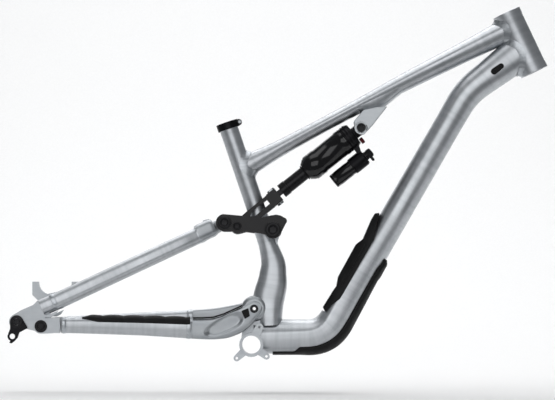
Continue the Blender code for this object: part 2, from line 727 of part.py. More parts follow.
# ---- storage door --------------------------------------------------------------------
DOOR_SEAT = [
    (-0.0008, 0.0468),
    (0.0113, 0.0590),
    (0.0265, 0.0701),
    (0.0336, 0.0812),
    (0.0891, 0.1802),
    (0.0932, 0.1994),
    (0.1003, 0.2277),
]  # the edge on which the door sits, from the down tube's bend, cut into the tube
DOOR_TOP = [
    (0.0996, 0.2307),
    (0.0922, 0.2297),
    (0.0861, 0.2196),
    (0.0699, 0.1822),
    (0.0568, 0.1721),
    (0.0235, 0.1115),
    (0.0204, 0.0943),
    (0.0134, 0.0842),
    (-0.0048, 0.0549),
]
DOOR_BULGE = 0.012  # how far the door's envelope stands over the tube
LATCH_THICKNESS = 0.0035
LATCH_WIDTH = 0.018


def door_space():
    """What the door takes out of the down tube."""
    away = point(math.sin(DOOR_SLOPE), -math.cos(DOOR_SLOPE))
    seat = DOOR_SEAT + down_tube_bend + (GAP + 0.0002) * away
    end = DOOR_TOP[0] + down_tube_bend + (GAP + 0.0002) * point(1, 0)
    beyond = down_tube_bend + np.array([(0.0816, 0.2848), (-0.0784, 0.0848)])
    return prism("door_space", outline(seat, end, beyond), -0.04, 0.04)


def latch_ends():
    """The two ends of the latch, along the door's raised part."""
    low, high = DOOR_TOP[5] + down_tube_bend, DOOR_TOP[4] + down_tube_bend
    return low + 0.10 * (high - low), low + 0.95 * (high - low)


def latch_outline(grow=0.0):
    low, high = latch_ends()
    ahead = (high - low) / np.linalg.norm(high - low)
    inward = point(ahead[1], -ahead[0])
    half = LATCH_THICKNESS / 2 + grow
    middle = inward * LATCH_THICKNESS / 2
    return round_both(low + middle + half * ahead, half, high + middle - half * ahead, half)


def build_door():
    origin = in_space(np.mean(DOOR_SEAT[3:5], axis=0) + down_tube_bend)
    path, widths, heights = down_tube_shape()
    envelope = rod("door_envelope", (path, widths + 0.001, heights + 2 * DOOR_BULGE))
    door = prism(
        "storage_door", outline(DOOR_SEAT, DOOR_TOP) + down_tube_bend, -0.04, 0.04, BLACK, origin
    )
    combine(door, "INTERSECT", [envelope])
    half = LATCH_WIDTH / 2
    space = latch_outline(2 * RUN)
    cut(door, prism("latch_space", space, -half - RUN, half + RUN))
    hinge = in_space(latch_ends()[0])
    prism("door_latch", latch_outline(), -half, half, ANODISED, hinge)


# ---- rocker link ---------------------------------------------------------------------
def build_rocker():
    outer = link_inner + LINK_THICKNESS
    side_view = outline(
        arc(stay_pivot, LINK_END_RADIUS, 100, 262, 8),
        point(-0.0375, 0.2112),
        arc(yoke_pivot, 0.0142, 215, 285, 3),
        point(-0.0100, 0.2105),
        point(0.0180, 0.2070),
        arc(link_pivot, ROCKER_BOSS_RADIUS + 0.0010, 215, 325, 5),
        link_pivot + (0.0230, 0.0115),
        link_pivot + (0.0262, 0.0170),
        link_pivot + (0.0240, 0.0215),
        link_pivot + (0.0140, 0.0268),
        link_pivot + (0.0060, 0.0285),
        link_pivot + (-0.0040, 0.0270),
        point(0.0200, 0.2368),
    )
    low, high = span(RIGHT, link_inner, outer)
    link = prism("rocker_link", side_view, low, high, GLOSS_BLACK, rocker)
    low, high = span(LEFT, link_inner, outer)
    join(link, prism("rocker_plate_left", side_view, low, high))
    bridge = outline(
        link_pivot + (0.0195, 0.0080),
        link_pivot + (0.0222, 0.0115),
        link_pivot + (0.0252, 0.0170),
        link_pivot + (0.0232, 0.0208),
        link_pivot + (0.0140, 0.0258),
        link_pivot + (0.0070, 0.0270),
        link_pivot + (0.0080, 0.0195),
    )
    join(link, prism("rocker_bridge", bridge, -link_inner - 0.002, link_inner + 0.002))
    bores = (
        (link_pivot, ROCKER_BOLT_RADIUS),
        (stay_pivot, STAY_BOLT_RADIUS),
        (yoke_pivot, YOKE_BOLT_RADIUS),
    )
    for number, (centre, radius) in enumerate(bores):
        cut(link, pin(f"rocker_bore_{number}", centre, radius + GAP, -0.05, 0.05))

    bolts = (
        ("rocker_bolt_", link_pivot, ROCKER_HEAD_RADIUS, ROCKER_BOLT_RADIUS, rocker_bolt_inner),
        ("stay_bolt_", stay_pivot, STAY_HEAD_RADIUS, STAY_BOLT_RADIUS, stay_eye_inner),
        ("yoke_bolt_", yoke_pivot, YOKE_HEAD_RADIUS, YOKE_BOLT_RADIUS, yoke_leg_inner),
    )
    for side in (RIGHT, LEFT):
        for name, centre, head, shank, tip in bolts:
            flanged_bolt(
                name + SIDE_NAMES[side], centre, head, shank, tip, outer + GAP, ANODISED,
                rocker, side,
            )


# ---- chainstays ----------------------------------------------------------------------
def with_axle(points):
    """Moves a stay's points with the rear axle: fully at its rear end, not at its front."""
    points = np.array(points, float)
    share = (points[:, 0] - points[-1, 0]) / (points[0, 0] - points[-1, 0])
    points[:, 0] += share * (axle[0] - STAY_DRAWN_AXLE)
    return points


def chainstay_shape(side):
    """The right stay runs low, clear of the chain; the left one runs straight to its pivot."""
    front = yoke_arm_middle + 0.0150
    if side == RIGHT:
        path = [(-0.3500, -dropout_middle, 0.0372), (-0.2900, -0.0715, 0.0366)]
        path += [(-0.2000, -0.0605, 0.0342), (-0.1137, -front, 0.0303)]
        heights = [0.0285, 0.0310, 0.0330, 0.0365]
    else:
        path = [(-0.3500, dropout_middle, 0.0372), (-0.2900, 0.0715, 0.0408)]
        path += [(-0.2000, 0.0605, 0.0458), (-0.1137, front, 0.0502)]
        heights = [0.0285, 0.0285, 0.0285, 0.0285]
    stations = list(zip((0, 0.26, 0.63, 1), [CHAINSTAY_WIDTH] * 4, heights))
    return shaped(curve(with_axle(path)), stations)


def yoke_outline_right():
    return outline(
        (-0.1120, 0.0120),
        (-0.0900, 0.0108),
        (-0.0730, 0.0104),
        (-0.0550, 0.0114),
        (-0.0400, 0.0140),
        (-0.0300, 0.0170),
        (-0.0200, 0.0220),
        (-0.0100, 0.0290),
        (0.0004, 0.0380),
        (0.0104, 0.0493),
        arc(main_pivot, 0.0145, -40, 100, 8),
        (-0.0050, 0.0765),
        (-0.0150, 0.0720),
        (-0.0500, 0.0560),
        (-0.0700, 0.0498),
        (-0.0900, 0.0485),
        (-0.1120, 0.0485),
    )


def yoke_pocket_outline():
    """The scoop in the right arm's outer face."""
    return outline(
        curve([(-0.0868, 0.0232), (-0.0780, 0.0165), (-0.0650, 0.0143), (-0.0500, 0.0163)], 2),
        curve([(-0.0350, 0.0242), (-0.0250, 0.0322), (-0.0150, 0.0420)], 2),
        (-0.0140, 0.0460),
        (-0.0200, 0.0600),
        (-0.0250, 0.0612),
        curve([(-0.0400, 0.0562), (-0.0550, 0.0508), (-0.0700, 0.0430), (-0.0800, 0.0340)], 2),
    )


def yoke_outline_left():
    return outline(
        (-0.1120, 0.0362),
        (-0.0600, 0.0400),
        (-0.0150, 0.0505),
        arc(main_pivot, 0.0145, -60, 100, 8),
        (-0.0600, 0.0690),
        (-0.1120, 0.0642),
    )


def grommet_outline(grow=0.0):
    corners = [(-0.0166, 0.0626), (-0.0062, 0.0668), (-0.0040, 0.0545), (-0.0112, 0.0500)]
    starts = (190, 100, 10, -80)
    around = [
        arc(corner, 0.0014 + grow, start, start - 60, 2)
        for corner, start in zip(corners, starts)
    ]
    return outline(*around)


def build_yoke():
    """The forging that joins both chainstays and turns on the main pivot."""
    half = YOKE_ARM_WIDTH / 2
    inner, outer = yoke_arm_middle - half, yoke_arm_middle + half
    low, high = span(RIGHT, inner, outer)
    yoke = prism(
        "chainstay_yoke", yoke_outline_right(), low, high, SILVER, chainstay,
        lean=-YOKE_ARM_LEAN,
    )
    low, high = span(LEFT, inner, outer)
    join(yoke, prism("yoke_arm_left", yoke_outline_left(), low, high, lean=YOKE_ARM_LEAN))
    bridge = outline((-0.0520, 0.0420), (-0.0290, 0.0450), (-0.0290, 0.0600), (-0.0520, 0.0540))
    join(yoke, prism("yoke_bridge", bridge, -yoke_arm_middle, yoke_arm_middle))
    low, high = span(RIGHT, outer - 0.0035, outer + 0.01)
    pocket = prism("yoke_pocket", yoke_pocket_outline(), low, high, lean=-YOKE_ARM_LEAN)
    hole = prism("grommet_hole", grommet_outline(GAP), *span(RIGHT, inner - 0.002, outer + 0.009))
    bore = pin("yoke_bore", main_pivot, MAIN_AXLE_RADIUS + GAP, -0.05, 0.05)
    faces = [
        pin("yoke_face_" + SIDE_NAMES[side], main_pivot, 0.0155,
            *span(side, 0.0, MAIN_BOSS_WIDTH / 2 + RUN))
        for side in (RIGHT, LEFT)
    ]
    cut(yoke, pocket, hole, bore, *faces)
    low, high = span(RIGHT, inner + 0.001, outer + 0.001)
    prism(
        "hose_grommet", grommet_outline(), low, high, RUBBER, chainstay,
        lean=-YOKE_ARM_LEAN,
    )
    reach = outer + 0.001
    ring(
        "main_pivot_axle", main_pivot, MAIN_AXLE_BORE, MAIN_AXLE_RADIUS, -reach, reach,
        ANODISED, chainstay,
    )


def build_chainstays():
    build_yoke()
    inner_face = REAR_SPACING / 2
    outer_face = inner_face + DROPOUT_THICKNESS
    for side in (RIGHT, LEFT):
        name = SIDE_NAMES[side]
        tube("chainstay_" + name, chainstay_shape(side), SILVER, chainstay)
        low, high = span(side, inner_face - RUN - CLEVIS_EAR, outer_face + RUN + CLEVIS_EAR)
        body = round_both(rear_pivot, CLEVIS_RADIUS, rear_pivot + (0.0216, 0.0012), 0.0142)
        clevis = prism("rear_clevis_" + name, body, low, high, SILVER, chainstay)
        root = outline(
            rear_pivot + (0.0211, -0.0126),
            rear_pivot + (0.0348, -0.0126),
            rear_pivot + (0.0348, 0.0158),
            rear_pivot + (0.0211, 0.0154),
        )
        join(clevis, prism("clevis_root_" + name, root, low, high))
        low, high = span(side, inner_face - RUN, outer_face + RUN)
        slot = round_both(
            rear_pivot, REAR_EYE_RADIUS + 0.003, rear_pivot - (0.05, 0), REAR_EYE_RADIUS + 0.006
        )
        cut(clevis, prism("clevis_slot_" + name, slot, low, high))
        cut(clevis, pin("clevis_bore_" + name, rear_pivot, REAR_BOLT_RADIUS + GAP, -0.1, 0.1))
        flanged_bolt(
            "rear_pivot_bolt_" + name, rear_pivot, REAR_CAP_RADIUS, REAR_BOLT_RADIUS,
            inner_face - RUN - CLEVIS_EAR, outer_face + RUN + CLEVIS_EAR + GAP, ANODISED,
            chainstay, side,
        )
    guarded = stretch_of(chainstay_shape(RIGHT), 0.02, 0.98)
    cover("chainstay_guard", guarded, np.arange(18, 163, 18), 0.003, RUBBER, chainstay)
    strip = outline(
        (-0.1080, 0.0490),
        (-0.0900, 0.0490),
        (-0.0698, 0.0503),
        (-0.0498, 0.0565),
        (-0.0160, 0.0720),
        (-0.0172, 0.0748),
        (-0.0508, 0.0594),
        (-0.0702, 0.0533),
        (-0.0900, 0.0520),
        (-0.1080, 0.0520),
    )
    half = YOKE_ARM_WIDTH / 2
    low, high = span(RIGHT, yoke_arm_middle - half, yoke_arm_middle + half)
    prism("yoke_guard", strip, low, high, RUBBER, chainstay, lean=-YOKE_ARM_LEAN)


# ---- seatstays -----------------------------------------------------------------------
def seatstay_shape(side):
    path = [
        (-0.3875, dropout_middle, 0.0703),
        (-0.3495, 0.0765, 0.0873),
        (-0.2400, 0.0680, 0.1385),
        (-0.1400, 0.0535, 0.1850),
        (-0.1050, 0.0450, 0.2012),
        (-0.0865, 0.0390, 0.2098),
    ]
    path = curve(with_axle(path) * (1, side, 1))
    return shaped(path, [(0, SEATSTAY_WIDTH, SEATSTAY_HEIGHT), (1, 0.016, SEATSTAY_HEIGHT)])


def bridge_arm_shape(side):
    path = [
        (-0.0858, 0.0387, 0.2101),
        (-0.0750, 0.0305, 0.2150),
        (-0.0660, stay_eye_middle - 0.0004, 0.2193),
        (-0.0520, stay_eye_middle, 0.2262),
    ]
    path = curve(np.array(path) * (1, side, 1))
    stations = [(0, 0.016, 0.027), (0.35, 0.011, 0.025), (0.7, 0.0085, 0.022)]
    return shaped(path, stations + [(1, 0.0085, 0.019)])


def dropout_outline():
    return outline(
        arc(axle, AXLE_RING_RADIUS, 125, 300, 10),
        axle + (0.0170, -0.0128),
        arc(rear_pivot, REAR_EYE_RADIUS, 225, 425, 10),
        rear_pivot + (0.0072, 0.0165),
        rear_pivot + (0.0180, 0.0165),
        rear_pivot + (0.0255, 0.0205),
        rear_pivot + (0.0315, 0.0290),
        rear_pivot + (0.0105, 0.0200),
        rear_pivot + (0.0062, 0.0210),
        rear_pivot + (-0.0062, 0.0478),
        axle + (0.0300, 0.0310),
        axle + (0.0080, 0.0215),
    )


def build_dropout(side):
    name = SIDE_NAMES[side]
    inner_face = REAR_SPACING / 2
    low, high = span(side, inner_face, inner_face + DROPOUT_THICKNESS)
    dropout = prism("dropout_" + name, dropout_outline(), low, high, SILVER, seatstay)
    cut(dropout, rod("stay_space_" + name, seatstay_shape(side), grow=GAP))
    cut(dropout, pin("axle_hole_" + name, axle, AXLE_RADIUS + GAP, -0.1, 0.1))
    cut(dropout, pin("eye_bore_" + name, rear_pivot, REAR_BEARING_RADIUS + GAP, -0.1, 0.1))
    ring(
        "rear_bearing_" + name, rear_pivot, REAR_BOLT_RADIUS + GAP, REAR_BEARING_RADIUS,
        low + GAP, high - GAP, STEEL, seatstay,
    )


def build_seatstays():
    for side in (RIGHT, LEFT):
        tube("seatstay_" + SIDE_NAMES[side], seatstay_shape(side), SILVER, seatstay)
        build_dropout(side)
    bridge = outline((-0.0910, 0.2150), (-0.0900, 0.2315), (-0.0790, 0.2345), (-0.0775, 0.2150))
    forging = prism("seatstay_bridge", bridge, -0.034, 0.034, SILVER, seatstay)
    for side in (RIGHT, LEFT):
        name = SIDE_NAMES[side]
        join(forging, rod("bridge_arm_" + name, bridge_arm_shape(side)))
        low, high = span(side, stay_eye_inner, stay_eye_inner + STAY_EYE_WIDTH)
        join(forging, pin("stay_eye_" + name, stay_pivot, STAY_EYE_RADIUS, low, high))
        cut(forging, rod("stay_end_space_" + name, seatstay_shape(side), grow=GAP))
    cut(forging, pin("stay_eye_bore", stay_pivot, STAY_BOLT_RADIUS + OPEN_PIVOT_PLAY, -0.05, 0.05))
    build_axle()
    build_brake_mount()


def build_axle():
    """The through axle, its nut on the right, and the derailleur hanger under the nut."""
    outer = REAR_SPACING / 2 + DROPOUT_THICKNESS
    hanger_low = -outer - GAP - HANGER_THICKNESS
    tip = hanger_low - 0.0022
    through = pin("rear_axle", axle, AXLE_RADIUS, tip, outer + 0.002, ANODISED, seatstay)
    join(through, pin("rear_axle_head", axle, 0.0090, outer + GAP, outer + 0.005))
    ring(
        "axle_nut", axle, AXLE_RADIUS + GAP, AXLE_NUT_RADIUS, tip, hanger_low - GAP, ANODISED,
        seatstay,
    )
    hole = axle + HANGER_HOLE
    side_view = outline(
        arc(axle, AXLE_NUT_RADIUS, 20, 190, 8),
        axle + (-0.0122, -0.0130),
        arc(hole, 0.0090, 150, 245, 4),
        hole + (-0.0055, -0.0118),
        hole + (-0.0015, -0.0130),
        hole + (0.0045, -0.0085),
        hole + (0.0100, -0.0025),
        hole + (0.0130, 0.0070),
        axle + (0.0200, -0.0118),
        axle + (0.0190, -0.0085),
    )
    hanger = prism(
        "derailleur_hanger", side_view, hanger_low, -outer - GAP, ANODISED, seatstay
    )
    cut(hanger, pin("hanger_hole", hole, HANGER_BORE, -0.1, 0.0))
    cut(hanger, pin("hanger_axle_hole", axle, AXLE_RADIUS + GAP, -0.1, 0.0))


def build_brake_mount():
    """Two posts beside the left seatstay, on a rib along it."""
    rear = point(axle[0] + BRAKE_POST_AHEAD, BRAKE_POST_TOP)
    ahead = rear + (BRAKE_POST_SPACING, 0)
    side_view = outline(
        rear + (-0.0062, 0),
        rear + (-0.0062, -0.0250),
        rear + (0.0030, -0.0340),
        rear + (0.0200, -0.0440),
        ahead + (-0.0120, -0.0270),
        ahead + (0.0062, -0.0150),
        ahead + (0.0062, 0),
        ahead + (-0.0062, 0),
        ahead + (-0.0062, -0.0060),
        ahead + (-0.0200, -0.0160),
        arc(rear + (0.0280, -0.0020), 0.0218, 255, 183, 5),
        rear + (0.0062, 0),
    )
    mount = prism("brake_mount", side_view, 0.0555, 0.0700, SILVER, seatstay)
    cut(mount, rod("stay_space_for_brake", seatstay_shape(LEFT), grow=GAP))
    for number, post in enumerate((rear, ahead)):
        start = in_space(post + (0, 0.01), 0.0611)
        profile = [(0, 0), (0, 0.0026), (0.024, 0.0026), (0.024, 0)]
        cut(mount, turned(f"brake_thread_{number}", profile, start, (0, 0, -1), sides=12))


# ---- shock ---------------------------------------------------------------------------
def shock_turned(name, profile, look=None, over=0.0, origin=(0, 0, 0), sides=20):
    """A round piece on the shock's axis, or on a line beside it."""
    return turned(
        name, profile, in_space(on_shock(0, over)), in_space(shock_down), look, origin, sides
    )


def build_shock_body():
    top = CAN_TOP - GAP
    dome = [(0.0060, 0), (0.0060, 0.0112), (0.0165, 0.0112), (0.0175, 0.0215)]
    dome += [(0.0230, 0.0240), (top, 0.0240), (top, 0)]
    head = shock_turned("shock_head", dome, ANODISED, origin=shock_body)
    half = SHOCK_EYE_WIDTH / 2
    join(head, pin("shock_eye", shock_top, SHOCK_EYE_RADIUS, -half, half))
    corners = [(0.0200, -0.0150), (0.0285, -0.0370), (0.0285, -0.0440)]
    corners += [(0.0350, -0.0440), (0.0350, -0.0150)]
    branch = outline(*[on_shock(*corner) for corner in corners])
    join(head, prism("reservoir_branch", branch, -0.010, 0.010))
    end = RESERVOIR_TOP - GAP
    block = [(0.0270, 0), (0.0270, 0.0135), (0.0300, 0.0158), (end, 0.0158), (end, 0)]
    join(head, shock_turned("reservoir_head", block, over=RESERVOIR_OFFSET))
    cut(head, pin("shock_eye_bore", shock_top, SHOCK_BOLT_RADIUS + GAP, -0.05, 0.05))

    can = [
        (CAN_TOP, CAN_RADIUS - CAN_WALL),
        (CAN_TOP, CAN_RADIUS),
        (CAN_SEAL_TOP + 0.002, CAN_RADIUS),
        (CAN_SEAL_TOP + 0.005, CAN_RADIUS - 0.002),
        (CAN_BOTTOM, 0.0175),
        (CAN_BOTTOM, SHAFT_RADIUS + RUN),
        (CAN_SEAL_TOP, SHAFT_RADIUS + RUN),
        (CAN_SEAL_TOP, CAN_RADIUS - CAN_WALL),
    ]
    shock_turned("air_can", can, GLOSS_BLACK, origin=shock_body, sides=24)
    tank = [(RESERVOIR_TOP, 0), (RESERVOIR_TOP, RESERVOIR_RADIUS)]
    tank += [(RESERVOIR_BOTTOM, RESERVOIR_RADIUS), (RESERVOIR_BOTTOM, 0)]
    shock_turned("reservoir", tank, GLOSS_BLACK, RESERVOIR_OFFSET, shock_body)
    cap_top = RESERVOIR_BOTTOM + GAP
    cap = [(cap_top, 0), (cap_top, 0.0135), (cap_top + 0.004, 0.0125), (cap_top + 0.0045, 0)]
    shock_turned("reservoir_cap", cap, ANODISED, RESERVOIR_OFFSET, shock_body)
    band_top = CAN_BOTTOM + GAP
    band = [(band_top, SHAFT_RADIUS + GAP), (band_top, SHAFT_RADIUS + 0.0022)]
    band += [(band_top + 0.003, SHAFT_RADIUS + 0.0022), (band_top + 0.003, SHAFT_RADIUS + GAP)]
    shock_turned("travel_ring", band, RUBBER, origin=shock_body)


def build_dials():
    """The rebound and compression dials turn on lines beside the shock's axis."""
    rebound = -0.0195
    profile = [(0.0095, 0), (0.0095, 0.0050), (0.0105, 0.0058), (0.0160, 0.0058), (0.0160, 0)]
    shock_turned("rebound_dial", profile, RED, rebound, in_space(on_shock(0.0140, rebound)), 16)
    middle = RESERVOIR_OFFSET
    profile = [(0.0115, 0), (0.0115, 0.0072), (0.0125, 0.0085), (0.0265, 0.0085), (0.0265, 0)]
    origin = in_space(on_shock(0.0190, middle))
    dial = shock_turned("compression_lever", profile, ANODISED, middle, origin, 16)
    arm = [(0.0160, -0.0060), (0.0160, -0.0165), (0.0215, -0.0165), (0.0215, -0.0060)]
    arm = outline(*[on_shock(down, middle + over) for down, over in arm])
    join(dial, prism("compression_arm", arm, -0.0030, 0.0030))


def build_shock_shaft():
    shaft = [(SHAFT_INSIDE, 0), (SHAFT_INSIDE, SHAFT_RADIUS), (SHAFT_END, SHAFT_RADIUS)]
    shaft.append((SHAFT_END, 0))
    shaft = shock_turned("shock_shaft", shaft, ANODISED, origin=shock_shaft)
    half = TONGUE_THICKNESS / 2
    end = EYE_TO_EYE + 0.0080
    corners = [(0.180, -half), (0.180, half), (end, half), (end, -half)]
    tongue = outline(*[on_shock(*corner) for corner in corners])
    join(shaft, prism("shaft_tongue", tongue, -TONGUE_WIDTH / 2, TONGUE_WIDTH / 2))
    bolt_at = in_space(on_shock(EYE_TO_EYE))
    over = in_space(shock_over)
    wide = CLAMP_BOLT_RADIUS + GAP
    bore = [(-0.03, 0), (-0.03, wide), (0.03, wide), (0.03, 0)]
    cut(shaft, turned("tongue_bore", bore, bolt_at, over))

    yoke = build_shock_yoke()
    cut(yoke, turned("yoke_bore_through", bore, bolt_at, over))
    bolt = [
        (-0.0188, 0),
        (-0.0188, 0.0066),
        (-0.0153, 0.0066),
        (-0.0153, CLAMP_BOLT_RADIUS),
        (0.0128, CLAMP_BOLT_RADIUS),
        (0.0128, 0.0066),
        (0.0160, 0.0066),
        (0.0160, 0),
    ]
    turned("yoke_clamp_bolt", bolt, bolt_at, over, STEEL, shock_shaft)


def build_shock_yoke():
    """Two windowed legs that straddle the seat tube, and the block that clamps the shock."""
    low_side, high_side = -0.0150, 0.0125
    start = EYE_TO_EYE - 0.0075
    eye = shock_reach
    facing = math.degrees(math.atan2(shock_down[1], shock_down[0]))
    leg = outline(
        on_shock(start, high_side),
        on_shock(start, low_side),
        on_shock(eye - 0.045, low_side),
        arc(yoke_pivot, YOKE_EYE_RADIUS, facing + 60, facing - 60),
        on_shock(eye - 0.030, 0.0105),
        on_shock(EYE_TO_EYE + 0.018, 0.0110),
    )
    window = outline(
        on_shock(EYE_TO_EYE + 0.016, 0.0045),
        on_shock(EYE_TO_EYE + 0.016, -0.0050),
        on_shock(eye - 0.038, -0.0060),
        on_shock(eye - 0.030, -0.0010),
        on_shock(eye - 0.038, 0.0040),
    )
    block = outline(
        on_shock(start, high_side),
        on_shock(start, low_side),
        on_shock(EYE_TO_EYE + 0.0120, low_side),
        on_shock(EYE_TO_EYE + 0.0120, high_side),
    )
    inner, outer = yoke_leg_inner, yoke_leg_inner + YOKE_LEG_WIDTH
    low, high = span(RIGHT, inner, outer)
    yoke = prism("shock_yoke", leg, low, high, ANODISED, shock_shaft)
    low, high = span(LEFT, inner, outer)
    join(yoke, prism("shock_yoke_leg_left", leg, low, high))
    join(yoke, prism("shock_yoke_block", block, -inner - 0.001, inner + 0.001))
    gap = TONGUE_THICKNESS / 2 + RUN
    end = EYE_TO_EYE + 0.009
    corners = [(0.15, -gap), (0.15, gap), (end, gap), (end, -gap)]
    half = TONGUE_WIDTH / 2 + RUN
    slot = prism("yoke_slot", outline(*[on_shock(*corner) for corner in corners]), -half, half)
    bore = pin("yoke_eye_bore", yoke_pivot, YOKE_BOLT_RADIUS + OPEN_PIVOT_PLAY, -0.05, 0.05)
    return cut(yoke, prism("yoke_window", window, -0.05, 0.05), slot, bore)


def main():
    for old in list(bpy.data.objects):
        bpy.data.objects.remove(old, do_unlink=True)
    build_tubes()
    build_bottom_bracket()
    build_rocker_boss()
    build_shock_mount()
    build_collar()
    build_trim()
    build_door()
    build_rocker()
    build_chainstays()
    build_seatstays()
    build_shock_body()
    build_dials()
    build_shock_shaft()


main()
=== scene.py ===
# %% [markdown]
# # A full-suspension mountain bike frame in raw aluminium
# The real frame is welded from hydroformed aluminium tubes and a few forgings. Three moving
# pieces hang on it: the chainstays, the seatstays and a rocker link, which together squeeze
# an air shock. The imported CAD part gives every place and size. This script dresses it: each
# surface that is seen close up is drawn again, finer, over the solid that it stands for.

import json
import math

import bmesh
import bpy
import numpy as np
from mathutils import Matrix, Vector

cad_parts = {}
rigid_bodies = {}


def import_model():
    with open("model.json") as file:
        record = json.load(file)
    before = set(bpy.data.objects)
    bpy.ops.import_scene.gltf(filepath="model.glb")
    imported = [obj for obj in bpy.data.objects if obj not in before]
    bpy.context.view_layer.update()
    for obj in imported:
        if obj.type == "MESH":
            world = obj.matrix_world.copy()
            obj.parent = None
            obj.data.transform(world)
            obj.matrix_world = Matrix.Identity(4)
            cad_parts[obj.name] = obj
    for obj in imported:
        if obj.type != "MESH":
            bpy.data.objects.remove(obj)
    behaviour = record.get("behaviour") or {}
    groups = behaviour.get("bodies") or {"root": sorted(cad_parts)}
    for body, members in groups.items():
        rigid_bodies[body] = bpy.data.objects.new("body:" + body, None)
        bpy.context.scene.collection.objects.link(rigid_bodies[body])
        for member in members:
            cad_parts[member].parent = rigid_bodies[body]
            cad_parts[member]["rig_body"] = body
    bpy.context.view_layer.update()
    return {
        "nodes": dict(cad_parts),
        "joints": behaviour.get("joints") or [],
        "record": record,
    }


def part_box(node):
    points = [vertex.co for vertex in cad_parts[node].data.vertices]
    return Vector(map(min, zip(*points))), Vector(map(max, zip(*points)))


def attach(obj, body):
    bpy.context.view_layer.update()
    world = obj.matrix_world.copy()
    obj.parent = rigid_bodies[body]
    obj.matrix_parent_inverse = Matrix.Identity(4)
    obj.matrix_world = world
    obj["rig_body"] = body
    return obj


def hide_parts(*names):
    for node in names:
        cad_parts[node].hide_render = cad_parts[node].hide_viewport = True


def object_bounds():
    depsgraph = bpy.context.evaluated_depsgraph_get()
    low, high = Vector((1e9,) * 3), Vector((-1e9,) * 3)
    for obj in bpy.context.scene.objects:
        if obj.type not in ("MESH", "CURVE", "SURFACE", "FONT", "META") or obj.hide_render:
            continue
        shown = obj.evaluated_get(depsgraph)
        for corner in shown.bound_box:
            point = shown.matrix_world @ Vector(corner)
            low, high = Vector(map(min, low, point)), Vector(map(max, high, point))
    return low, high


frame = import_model()

# %% [markdown]
# ## Where things are
# Lengths are metres. +X is forwards, +Y is the rider's left and +Z is up, from the middle of
# the bottom bracket. Most pieces are thought of as a side view, so a point is often (x, z).
# The places are read from the part's own joints, mounts and boxes.


# %% Places read from the frame
def box(node):
    """The lowest and highest corner of a CAD node."""
    low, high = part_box(node)
    return np.array(low), np.array(high)


def middle(node):
    """The middle of a CAD node's box."""
    return sum(box(node)) / 2


def side_view(point):
    return np.array([point[0], point[2]], float)


def in_space(point, y=0.0):
    """A side-view point, or a row of them, at this distance to the left."""
    return np.insert(np.asarray(point, float), 1, y, axis=-1)


def along(degrees):
    return np.array([math.cos(math.radians(degrees)), math.sin(math.radians(degrees))])


mounts = {mount["name"]: mount for mount in frame["record"]["mounts"]}
joints = {joint["name"]: joint for joint in frame["joints"] if "pos_m" in joint}
RIGHT, LEFT = -1, 1
SIDES = {RIGHT: "right", LEFT: "left"}

head_top = side_view(mounts["head_tube_top_face"]["pos_m"])
head_bottom = side_view(mounts["head_tube_bottom_face"]["pos_m"])
head_length = np.linalg.norm(head_bottom - head_top)
head_down = (head_bottom - head_top) / head_length
head_radius = (box("head_tube")[1] - box("head_tube")[0])[1] / 2
seat_top = side_view(mounts["seat_collar_top_face"]["pos_m"])
seat_down = -side_view(mounts["seat_collar_top_face"]["axis"])
seat_ahead = np.array([-seat_down[1], seat_down[0]])
seat_radius = (box("seat_tube_upper")[1] - box("seat_tube_upper")[0])[1] / 2
seat_upper_length = 2 * np.linalg.norm(side_view(middle("seat_tube_upper")) - seat_top)
main_pivot = side_view(joints["suspension_travel"]["pos_m"])
rear_pivot = side_view(joints["seatstay_pivot"]["pos_m"])
link_pivot = side_view(joints["rocker_pivot"]["pos_m"])
shock_top = side_view(joints["shock_swing"]["pos_m"])
stay_pivot = side_view(middle("stay_bolt_right"))
yoke_pivot = side_view(middle("yoke_bolt_right"))
axle = side_view(middle("rear_axle"))
shock_down = (yoke_pivot - shock_top) / np.linalg.norm(yoke_pivot - shock_top)
shock_over = np.array([shock_down[1], -shock_down[0]])
print("head tube", round(head_length, 4), "long; rear axle at", axle.round(4))

# %% [markdown]
# ## Curves
# A tube's centre line and a turned piece's profile are drawn with few corners, which are
# then rounded. Whole arrays of corners are rounded at once, with one formula for all.


# %% Lines and curves
def softened(corners, reach, steps=5):
    """The line with each inner corner swapped for a parabola that leaves and meets it reach away.

    With s from 0 to 1, the parabola is (1-s)^2 a + 2s(1-s) corner + s^2 b, where a and b lie
    on the two sides, reach from the corner or at 0.45 of a shorter side.
    """
    corners = np.asarray(corners, float)
    corner = corners[1:-1, None]
    back = corners[:-2, None] - corner
    ahead = corners[2:, None] - corner
    reach = np.broadcast_to(reach, len(corner))[:, None, None]
    back_length = np.linalg.norm(back, axis=2, keepdims=True)
    ahead_length = np.linalg.norm(ahead, axis=2, keepdims=True)
    start = corner + back * np.minimum(0.45, reach / back_length)
    end = corner + ahead * np.minimum(0.45, reach / ahead_length)
    s = np.linspace(0, 1, steps + 1)[None, :, None]
    bends = (1 - s) ** 2 * start + 2 * s * (1 - s) * corner + s**2 * end
    return np.vstack([corners[:1], bends.reshape(-1, corners.shape[1]), corners[-1:]])


def closed_softened(corners, reach, steps=5):
    """The same for a closed outline, so that every corner is rounded."""
    corners = np.asarray(corners, float)
    round_again = np.vstack([corners[-1:], corners, corners[:1]])
    return softened(round_again, reach, steps)[1:-1]


def arc(centre, radius, start, end, steps=8):
    """Points of an arc from one angle to another, in degrees."""
    angles = np.radians(np.linspace(start, end, steps + 1))
    return np.asarray(centre) + radius * np.column_stack([np.cos(angles), np.sin(angles)])


